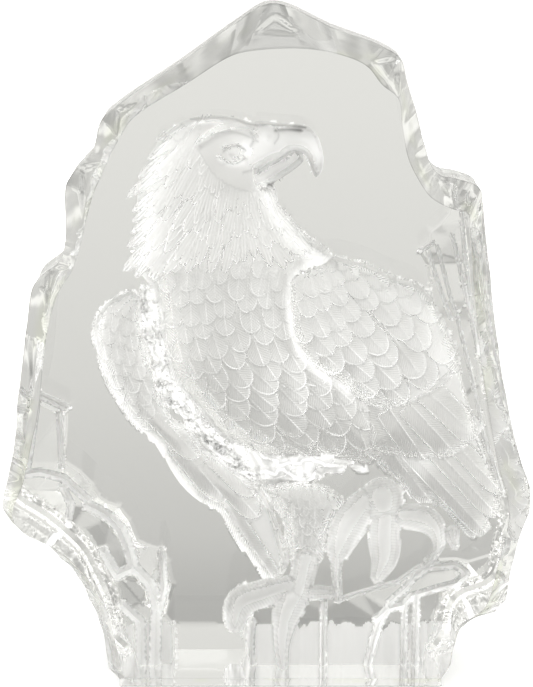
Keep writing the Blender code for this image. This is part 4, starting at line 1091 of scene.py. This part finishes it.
def side_loops():
    """The block's side as lines of (x, y, z), from the polished face round to the back."""
    widest = on_block(WIDEST)
    face = on_block(spline(FACE_LINE, SIDE_STEPS))
    face[0][1] = face[-1][1] = FOOT_CHAMFER
    widest[0][1] = widest[-1][1] = 0
    count = len(widest)
    place = np.arange(count)

    def level(height):
        return np.full(count, height)

    # The widest line swings back between its corners, and the streaks fade out at its ends
    run = run_of(widest) / MM
    corners = run[::SIDE_STEPS]
    stretch = np.append(np.repeat(np.diff(corners), SIDE_STEPS), corners[-1] - corners[-2])
    swing = np.sin(np.pi * (place % SIDE_STEPS) / SIDE_STEPS)
    swing = swing * np.clip(stretch * MM / FULL_SCALLOP, 0, 1)
    ends = np.clip(np.minimum(place, count - 1 - place) / 10, 0, 1)
    setback = RIM_SETBACK + SCALLOP_SETBACK * swing
    setback[0] = setback[-1] = FOOT_CHAMFER
    start = front(widest[:, 1]) + setback
    stop = back(widest[:, 1]) - BACK_CHAMFER
    loops = []
    for share in np.arange(RIM_RINGS + 1) / RIM_RINGS:
        flat = face + (widest - face) * share
        deep = front(face[:, 1]) * (1 - share) + start * share
        streak = ripple(run / 30, level(share * 3), 3) + 0.4 * ripple(run / 12, level(share * 6), 4)
        bulge = RIM_STREAK * streak * ends * math.sin(math.pi * share)
        for struck in struck_facets(flat):
            bulge += FACET_CUT * struck * math.sin(math.pi * share)
        loops.append(np.column_stack([flat[:, 0], deep + bulge, flat[:, 1]]))
    for share in np.arange(1, SIDE_RINGS + 1) / SIDE_RINGS:
        streak = 0.5 + 0.5 * ripple(run / 22, level(share * 2.5), 5)
        flat = inset(widest, SIDE_STREAK * streak * ends * math.sin(math.pi * share))
        loops.append(np.column_stack([flat[:, 0], start + (stop - start) * share, flat[:, 1]]))
    rear = inset(widest, BACK_CHAMFER)
    loops.append(np.column_stack([rear[:, 0], back(rear[:, 1]), rear[:, 1]]))
    return loops


def carved_area(x, z):
    """Whether a place on the back lies in or close to the carving."""
    x, y = on_sheet(x, z)
    outlines = [ring(outline) for outline, *_ in FORMS.values()]
    outlines += [np.array(edge)[:, :2] for edge, _, _ in STONES]
    near = np.zeros(x.shape, bool)
    for outline in outlines:
        near |= away(x, y, outline) > -CARVING_MARGIN
    for path in TOES:
        near |= limb(x, y, [(cx, cy, half + TOE_MARGIN) for cx, cy, half in path]) > 0
    return near


def hexes(outline, cell, keep):
    """Places on six-sided cells inside an outline, those that `keep` accepts."""
    low, high = outline.min(axis=0), outline.max(axis=0)
    xs = np.arange(low[0], high[0], cell)
    zs = np.arange(low[1] + cell / 2, high[1], cell * HEX_ROW)
    x, z = np.meshgrid(xs, zs)
    x[1::2] += cell / 2
    x, z = x.ravel(), z.ravel()
    return np.column_stack([x, z])[keep(x, z) & (away(x, z, outline) > cell * HEX_MARGIN)]


def toe_edges():
    """Places along both flanks of each toe, within them and beyond them."""
    for path in TOES:
        line = spline(path, TOE_STEPS)
        middle = evenly_spaced(line[:, :2], EDGE_STEP)
        share = np.linspace(0, 1, len(middle))
        radius = np.interp(share, np.linspace(0, 1, len(line)), line[:, 2])[:, None]
        across = beside(middle, 1.0)[0] - middle
        for turn in (-1, 1):
            yield [middle + across * turn * radius * reach for reach in (TOE_CROWN, TOE_REACH)]


def edge_places():
    """Places on the sheet along every edge that shows: feathers, forms, toes, facets and posts."""
    pairs = [(feather.edge(-EDGE_GAP), feather.edge(EDGE_GAP)) for feather in Feather.laid]
    pairs += [beside(turned(ring(shape[0], 8)), -shape[4], 0.0) for shape in FORMS.values()]
    pairs += toe_edges()
    within, beyond = (np.vstack(lines) for lines in zip(*pairs))
    shows = abs(carving(*within.T)[0] - carving(*beyond.T)[0]) > EDGE_STEP_SEEN
    foot_row = np.arange(*FOOT_SPAN, EDGE_STEP)
    places = [within[shows], beyond[shows]]
    places.append(np.column_stack([foot_row, np.full(len(foot_row), FOOT_LINE)]))
    for edge, inner, _ in STONES:
        corners = np.array([c[:2] for c in edge + inner], float)
        _, ridges, _, _ = joined(corners, len(edge))
        places += [evenly_spaced(corners[list(ridge)], EDGE_STEP) for ridge in ridges]
        places += beside(turned(corners[:len(edge)]), STONE_WALL)
    for half_width, path in POSTS + SPLINTERS:
        places += beside(evenly_spaced(path, EDGE_STEP), -half_width, 0, half_width)
    for path in TEARS:
        gaps = [turn * TEAR_BESIDE for turn in (-2, -1, 0, 1, 2)]
        places += beside(evenly_spaced(torn_line(path), FINE_STEP), *gaps)
    for path, half_width, _ in PAINTED_SHADE_LINES:
        gaps = (-1.4 * half_width, 0, 1.4 * half_width)
        places += beside(evenly_spaced(spline(path, 6), FINE_STEP), *gaps)
    return np.vstack(places)


def squares_of(x, y):
    """The squares of the sheet that places lie in, counted from outside its corner."""
    return tuple(np.floor(along).astype(int) + SHEET_MARGIN for along in (x, y))


def thinned(places):
    """One place for each square of the sheet, and the squares that they take with those beside."""
    _, first = np.unique(np.column_stack(squares_of(*places.T)), axis=0, return_index=True)
    kept = places[np.sort(first)]
    across, down = squares_of(*kept.T)
    taken = np.zeros((SHEET_SPAN, SHEET_SPAN), bool)
    for right in (-1, 0, 1):
        for below in (-1, 0, 1):
            taken[across + right, down + below] = True
    return kept, taken


def lay_back(rear):
    """The back as flat places across and up, the facets between them, and how many lie round it.

    The outline runs up the left side, over the top, down the right, then along the underside.
    """
    steps = int((rear[-1][0] - rear[0][0]) / BOTTOM_CELL)
    bottom = np.linspace(rear[-1][0], rear[0][0], steps)[1:-1]
    outline = np.vstack([rear, np.column_stack([bottom, np.zeros(steps - 2)])])
    edges, taken = thinned(edge_places())
    edges = np.column_stack(on_back(*edges.T))
    edges = edges[away(*edges.T, outline) > EDGE_MARGIN]
    fine = hexes(outline, CARVING_CELL, carved_area)
    fine = fine[~taken[squares_of(*on_sheet(*fine.T))]]
    wide = hexes(outline, FIELD_CELL, lambda x, z: ~carved_area(x, z))
    placed, _, facets, _ = joined(np.vstack([outline, edges, fine, wide]), len(outline), 1e-9)
    return np.array([tuple(p) for p in placed]), np.array(facets), len(outline)


def carve(x, z):
    """Depth, finish and owner at places on the back, which keeps a whole wall along the side."""
    sheet_x, sheet_y = on_sheet(x, z)
    depth, finish, owner = carving(sheet_x, sheet_y)
    sides = on_block(WIDEST)
    below = -BLOCK_HEIGHT / 2
    sides = np.vstack([(sides[0][0], below), sides, (sides[-1][0], below)])
    from_side = away(x, z, sides)
    depth = depth * np.clip((from_side - RIM_WALL) / WALL_DRAFT, 0, 1)
    strip = np.clip(1 - abs(from_side / RIM_WALL - 0.6) / 0.45, 0, 1)
    strip = strip * np.clip((sheet_y - SIDE_STRIP_TOP) / 20, 0, 1)
    depth += strip * STRIP_CUT * (0.5 + 0.5 * ripple(sheet_x / 14, sheet_y / 26, 14))
    return depth, finish, owner


def shell(rows, count):
    """The polished front, the rim and the sides, and the foot's chamfer."""
    faces = [list(range(count))]
    for row in range(rows - 1):
        for low in range(row * count, row * count + count - 1):
            faces.append([low, low + count, low + count + 1, low + 1])
    foot = [row * count for row in range(RIM_RINGS + 1)]
    faces.append(foot + [row + count - 1 for row in reversed(foot)])
    return faces


def underside(verts, rows, count, around):
    """The underside, in one flat sheet from the front chamfer to the carved back."""
    side_rows = range(RIM_RINGS, rows - 1)
    rear_start = (rows - 1) * count
    edge = [row * count + count - 1 for row in side_rows]
    edge += [rear_start + k for k in range(count - 1, around)] + [rear_start]
    edge += [row * count for row in reversed(side_rows)]
    _, _, sheet, origin = joined(verts[edge], len(edge), 1e-9)
    return [[edge[origin[k][0]] for k in facet] for facet in sheet]


def build_block():
    """The closed crystal: front, rim, sides, underside and the carved back."""
    loops = side_loops()
    rows, count = len(loops), len(loops[0])
    placed, facets, around = lay_back(loops[-1][:, [0, 2]])
    depth, finish, owner = carve(*placed.T)
    depth[:count] = 0
    verts = np.vstack(loops[:-1] + [np.column_stack(cut_in(*placed.T, depth))])
    faces = shell(rows, count)
    first = len(faces)
    faces += (facets + (rows - 1) * count).tolist()
    faces += underside(verts, rows, count, around)
    mesh = bpy.data.meshes.new("crystal_block")
    mesh.from_pydata(verts.tolist(), [], faces)

    # Finish and feather of each facet are those of its corner that stands out most
    leading = facets[np.arange(len(facets)), depth[facets].argmax(axis=1)]
    finishes = np.zeros(len(faces), np.int32)
    finishes[first:first + len(facets)] = finish[leading]
    mesh.polygons.foreach_set("material_index", finishes)
    x, y = on_sheet(*placed.T)
    maps = lay_barbs(x[facets], y[facets], owner[leading])
    maps["tone"] = lay_tones(x, y, owner, facets, owner[leading], finish[leading] == FROSTED)
    lay_maps(mesh, maps, first, count)

    shaped = bmesh.new()
    shaped.from_mesh(mesh)
    bmesh.ops.triangulate(shaped, faces=[face for face in shaped.faces if len(face.verts) > 4])
    bmesh.ops.recalc_face_normals(shaped, faces=shaped.faces[:])
    shaped.to_mesh(mesh)
    shaped.free()
    mesh.set_sharp_from_angle(angle=SHARP_FROM)
    for polygon in mesh.polygons:
        if max(polygon.vertices) < count or polygon.normal.z < -0.5:
            polygon.use_smooth = False
    mesh.update()
    return mesh


def lay_barbs(x, y, owners):
    """Maps in squares for the facets' corners, on the feathers, the tears and the toes.

    The first goes back from each feather's tip and aside of its shaft, the second in from its edge.
    """
    barbs = np.zeros((*x.shape, 2))
    edges = np.full((*x.shape, 2), FAR_IN)
    for feather in Feather.laid:
        mine = owners == feather.number
        back, side = feather.lies(x[mine], y[mine])
        aside = side - feather.bend(back)
        edges[mine, :, 0] = feather.inward(back, aside)
        if feather.shaft:
            edges[mine, :, 1] = aside
            barbs[mine] = np.stack([back, side], axis=2)
        else:
            barbs[mine, :, 0] = side + LOCK_MIDDLE
    # Torn edges take the lip's painted highlight along their line
    mine = owners == TORN
    edges[mine, :, 0] = 0.7 + to_tears(x[mine], y[mine]) * 0.4
    for number, path in enumerate(TOES):
        mine = owners == FIRST_TOE - number
        (ax, ay, _), (bx, by, _) = path[0], path[-1]
        along = (x[mine] - ax) * (bx - ax) + (y[mine] - ay) * (by - ay)
        barbs[mine, :, 0] = along / math.dist((ax, ay), (bx, by)) + TOE_ALONG
    return {"barbs": barbs, "edges": edges}


def lay_tones(x, y, owner, facets, owners, satin):
    """How pale the satin is and how dark its lines are, with painted shadow where feathers or forms
    meet.
    """
    pale, dark = tones(x, y, owner)
    breast = np.clip(away(x, y, ring(BODY)) / 8, 0, 1)
    faint = 1 - 0.65 * breast * (1 - np.clip((y - 330) / 60, 0, 1))
    for group, share in SEAM_SHADOW_SHARE.items():
        numbers = [feather.number for feather in PLUMAGE[group]]
        faint = np.where((owner >= numbers[0]) & (owner <= numbers[-1]), share, faint)
    # Painted shadow: a dark line along the foot of each wall, where facets of two feathers or forms
    # meet
    lowest, highest = np.full(len(owner), 9999), np.full(len(owner), -9999)
    shared = facets[satin].ravel()
    np.minimum.at(lowest, shared, np.repeat(owners[satin], 3))
    np.maximum.at(highest, shared, np.repeat(owners[satin], 3))
    seam = (highest > lowest).astype(float)
    return np.stack([pale, np.maximum(dark, seam * SEAM_PAINTED_SHADOW * faint)], axis=1)[facets]


def lay_maps(mesh, maps, first, count):
    """Writes the maps of the carved facets, which are those from `first` on.

    On the rim, "edges" counts from the polished face to the widest line.
    """
    row = np.zeros(len(mesh.loops), np.int32)
    mesh.loops.foreach_get("vertex_index", row)
    row //= count
    on_rim = row <= RIM_RINGS
    on_rim[:count] = False
    starts = np.zeros(len(mesh.polygons), np.int32)
    mesh.polygons.foreach_get("loop_start", starts)
    carved = starts[first:first + len(maps["tone"]), None] + np.arange(3)
    for name, corners in maps.items():
        uv = np.full((len(mesh.loops), 2), FAR_IN)
        uv[carved] = corners
        if name == "edges":
            uv[on_rim, 0] = row[on_rim] / RIM_RINGS
        mesh.uv_layers.new(name=name).data.foreach_set("uv", uv.astype(np.float32).ravel())


class Value:
    """A shader socket that can be reckoned with like a number."""

    def __init__(self, shader, socket):
        self.shader, self.socket = shader, socket

    def reckon(self, operation, *others):
        """One step of arithmetic on this value and others."""
        return self.shader.node("ShaderNodeMath", self, *others, settings={"operation": operation})

    def held(self):
        """The value, held between 0 and 1."""
        return self.reckon("MAXIMUM", 0.0).reckon("MINIMUM", 1.0)

    def share(self, low, high):
        """Its share of the way from `low` to `high`."""
        return ((self - low) * (1 / (high - low))).held()

    def smooth(self, low, high):
        """A smooth step from 0 at `low` to 1 at `high`."""
        share = self.share(low, high)
        return share * share * (3.0 - share * 2.0)

    def __add__(self, other):
        return self.reckon("ADD", other)

    def __sub__(self, other):
        return self.reckon("SUBTRACT", other)

    def __mul__(self, other):
        return self.reckon("MULTIPLY", other)

    __radd__ = __add__
    __rmul__ = __mul__

    def __rsub__(self, other):
        return (self * -1) + other


class Shader:
    """A material's or the world's nodes, added one call at a time."""

    def __init__(self, owner):
        owner.use_nodes = True
        self.tree = owner.node_tree

    def node(self, kind, *values, settings=None, output=0, **named):
        """One node with its settings and its sockets, in order or by name, giving one output."""
        node = self.tree.nodes.new(kind)
        for name, value in (settings or {}).items():
            if name == "stops":
                self.lay_stops(node.color_ramp.elements, value)
            else:
                setattr(node, name, value)
        for socket, value in zip(node.inputs, values):
            self.plug(socket, value)
        self.feed(node, **named)
        return Value(self, node.outputs[output])

    def feed(self, node, **named):
        """Sets or links a node's sockets by name, with lines for spaces."""
        for name, value in named.items():
            names = [(socket.identifier, socket.name.replace(" ", "_")) for socket in node.inputs]
            self.plug(node.inputs[[name in both for both in names].index(True)], value)

    def plug(self, socket, value):
        """Sets or links one socket."""
        if isinstance(value, Value):
            self.tree.links.new(value.socket, socket)
        else:
            socket.default_value = value

    def lay_stops(self, elements, stops):
        """A ramp's stops, as places with a colour."""
        while len(elements) < len(stops):
            elements.new(0.5)
        for element, (place, colour) in zip(elements, stops):
            element.position = place
            element.color = colour

    def ramp(self, value, bands):
        """A warm grey by bands of a value, from the first to the last."""
        low, high = bands[0][0], bands[-1][0]
        stops = [
            ((at - low) / (high - low), (*(shade * part for part in WARMTH), 1))
            for at, shade in bands
        ]
        share = (value - low) * (1 / (high - low))
        return self.node("ShaderNodeValToRGB", share, settings={"stops": stops})

    def noise(self, place, scale, detail=2.0):
        """Smooth noise at a scale."""
        return self.node(
            "ShaderNodeTexNoise", output="Fac", Vector=place, Scale=scale, Detail=detail
        )

    def parts(self, vector, axes):
        """Some of the parts of a vector."""
        return [self.node("ShaderNodeSeparateXYZ", vector, output=axis) for axis in axes]

    def on_map(self, name):
        """The two numbers of one of the block's maps."""
        return self.parts(self.node("ShaderNodeUVMap", settings={"uv_map": name}), "XY")


def principled(name, **values):
    """A material with plain values on its shader: the material, its nodes and that shader."""
    material = bpy.data.materials.new(name)
    shader = Shader(material)
    surface = shader.tree.nodes["Principled BSDF"]
    shader.feed(surface, **values)
    return material, shader, surface


def clear_crystal():
    """Fire-polished clear crystal with faint flow lines in its skin and painted shade along the
    rim's edges.
    """
    material, shader, surface = principled(
        "clear_crystal", Base_Color=(0.985, 0.99, 0.98, 1), IOR=GLASS_INDEX, Transmission_Weight=1.0
    )
    place = shader.node("ShaderNodeTexCoord", output="Object")
    rim, _ = shader.on_map("edges")
    blotches = shader.noise(place, 70.0)
    tint = (1.0 - rim.smooth(0.3, 0.8)) * blotches.smooth(0.45, 0.6)
    # Painted shade: blotchy dark bands along the rim's edge with the polished face and along the
    # widest line
    outer = rim.smooth(0.93, 1.0) * (1.0 - rim.smooth(1.0, 1.5))
    painted_rim_shade = (1.0 - rim.smooth(0.0, 0.07)).reckon("MAXIMUM", outer)
    clear = 1.0 - painted_rim_shade * (0.25 + 0.5 * blotches)
    colour = shader.node(
        "ShaderNodeCombineColor",
        clear * (0.985 - tint * 0.05), clear * (0.99 - tint * 0.025), clear * (0.98 - tint * 0.16),
    )
    shader.feed(surface, Base_Color=colour, Roughness=shader.noise(place, 140.0, 3.0) * 0.03)
    return material


def frosted_crystal():
    """Crystal etched to a satin, with the feathers' barbs in it, and painted highlights and shade.
    """
    material, shader, surface = principled(
        "frosted_crystal", Base_Color=(0.99, 0.99, 0.985, 1), IOR=GLASS_INDEX,
        Transmission_Weight=1.0
    )
    place = shader.node("ShaderNodeTexCoord", output="Object")
    back, side = shader.on_map("barbs")
    inward, aside = shader.on_map("edges")
    pale, dark = shader.on_map("tone")

    # Barbs run aslant from a feather's shaft, and hairs run along a lock
    lock = back.smooth(80.0, 100.0)
    hair = lock - back.smooth(240.0, 250.0)
    wave = ((back + side.reckon("ABSOLUTE") * 0.9) * 2.1).reckon("SINE") * (1.0 - lock * 0.6)
    height = inward.smooth(0.0, 1.3) * 0.4 + wave * 0.05 + shader.noise(place, 900.0) * 0.03
    bump = shader.node("ShaderNodeBump", Strength=0.8, Distance=0.0004, Height=height)

    # Painted shade darkens the satin at a feather's root, and painted highlights catch its lip and
    # shaft in patches
    root = back.smooth(4.0, 30.0) * (1.0 - lock)
    low = 1.0 - shader.parts(place, "Z")[0].smooth(0.072, 0.1) * (1.0 - lock)
    lip = inward.smooth(0.0, 0.6) * (1.0 - inward.smooth(0.9, 1.7))
    shaft = 1.0 - aside.reckon("ABSOLUTE").smooth(0.2, 0.9)
    patchy = shader.noise(place, 150.0).smooth(0.38, 0.6)
    line = (lip * patchy).reckon("MAXIMUM", shaft * (0.8 - patchy * 0.5)) * (0.2 + low * 0.3)
    white = pale - root * (0.15 + low * 0.1) + wave * (low * 0.11 + hair * 0.4) + line
    # Painted shade lines, painted seam and tear shadows, and random crumbs grey the crystal's
    # colour
    painted_shade_and_crumbs = 1.0 - dark * 0.75
    shader.feed(
        surface, Base_Color=painted_shade_and_crumbs, Normal=bump, Roughness=0.3 + shader.noise(place, 60.0) * 0.25
    )
    rough = Value(shader, surface.outputs[0])
    etched = shader.node("ShaderNodeBsdfTranslucent", Color=painted_shade_and_crumbs, Normal=bump)
    mixed = shader.node("ShaderNodeMixShader", white.held(), rough, etched)
    shader.feed(shader.tree.nodes["Material Output"], Surface=mixed)
    return material


def pale_paper():
    """Pale matt paper with a slight glow."""
    material, shader, surface = principled(
        "pale_paper", Base_Color=(0.9, 0.9, 0.9, 1), Emission_Color=(1, 1, 1, 1),
        Emission_Strength=0.12
    )
    place = shader.node("ShaderNodeTexCoord", output="Object")
    shader.feed(surface, Roughness=0.85 + shader.noise(place, 400.0) * 0.1)
    return material


def lay_stage():
    """A pale floor, which the crystal doesn't mirror or show."""
    bpy.ops.mesh.primitive_plane_add(size=6, location=(0, 0, -0.2 * MM))
    floor = bpy.context.object
    floor.name = "floor"
    floor.data.materials.append(pale_paper())
    floor.visible_transmission = False
    floor.visible_glossy = False


def light_world():
    """A light tent: white to the camera, and to the crystal bright but for a grey window behind."""
    world = bpy.data.worlds.new("tent")
    bpy.context.scene.world = world
    shader = Shader(world)
    place = shader.node("ShaderNodeTexCoord", output="Generated")
    across, depth, height = shader.parts(place, "XYZ")
    aside = across.reckon("ABSOLUTE")

    # The tent's wall behind the camera has dark patches, and the one behind the block has shades
    # beside the window and below it
    in_window = depth.share(0.3, 0.6) * (1.0 - aside.share(0.22, 0.47))
    patches = shader.noise(place, 7.0, 1.0).smooth(0.52, 0.62) * aside.smooth(0.3, 0.45)
    near_camera = (depth * -2.0).held() * (0.1 + patches * 0.6)
    beneath = 1.0 - height.smooth(-0.54, -0.46)
    shade = depth.smooth(0.1, 0.4) * aside.smooth(0.24, 0.34).reckon("MAXIMUM", beneath)
    shade = shade * (0.26 + 0.28 * shader.noise(place, 4.5, 1.0).smooth(0.38, 0.6))
    around = shader.node(
        "ShaderNodeMix", settings={"data_type": "RGBA"}, output=2, Factor_Float=in_window,
        A_Color=shader.ramp(height, TENT), B_Color=shader.ramp(height, WINDOW)
    )
    inner = shader.node("ShaderNodeBackground", around, 1.0 - near_camera - shade)
    outer = shader.node("ShaderNodeBackground", (1, 1, 1, 1), 1.0)
    seen = shader.node("ShaderNodeLightPath", output="Is Camera Ray")
    mixed = shader.node("ShaderNodeMixShader", seen, inner, outer)
    shader.feed(shader.tree.nodes["World Output"], Surface=mixed)


def look_at(thing, aim):
    """Turns a lamp or a camera to a place."""
    thing.rotation_euler = (aim - thing.location).to_track_quat("-Z", "Y").to_euler()
    bpy.context.scene.collection.objects.link(thing)


def add_lamp(name, place, size, power, shows):
    """A soft square lamp that looks at the block, and that clear crystal may or may not show."""
    data = bpy.data.lights.new(name, "AREA")
    data.size = size
    data.energy = power
    lamp = bpy.data.objects.new(name, data)
    lamp.location = place
    lamp.visible_transmission = lamp.visible_glossy = shows
    look_at(lamp, Vector((0, 0, BLOCK_HEIGHT / 2)))


def place_camera():
    """Straight in front, a little above, so that the block just fills the picture."""
    data = bpy.data.cameras.new("camera")
    data.sensor_fit = "VERTICAL"
    data.sensor_height = SENSOR
    data.lens = SENSOR * CAMERA_DISTANCE / (BLOCK_HEIGHT * PICTURE_HEIGHT)
    camera = bpy.data.objects.new("camera", data)
    aim = Vector((0, 0, BLOCK_HEIGHT * CAMERA_AIM))
    ahead = Vector((0, -math.cos(CAMERA_RISE), math.sin(CAMERA_RISE)))
    camera.location = aim + ahead * CAMERA_DISTANCE
    look_at(camera, aim)
    bpy.context.scene.camera = camera


def main():
    """Builds and places everything."""
    block = bpy.data.objects.new("crystal_block", build_block())
    bpy.context.scene.collection.objects.link(block)
    block.data.materials.append(clear_crystal())
    block.data.materials.append(frosted_crystal())
    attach(block, "root")
    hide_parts("crystal_eagle_block")
    lay_stage()
    light_world()
    for lamp in LAMPS:
        add_lamp(*lamp)
    place_camera()
    scene = bpy.context.scene
    scene.view_settings.view_transform = "Standard"
    scene.cycles.max_bounces = 24
    scene.cycles.transmission_bounces = 24
    scene.cycles.glossy_bounces = 12
    scene.cycles.caustics_reflective = False
    scene.cycles.caustics_refractive = True


main()
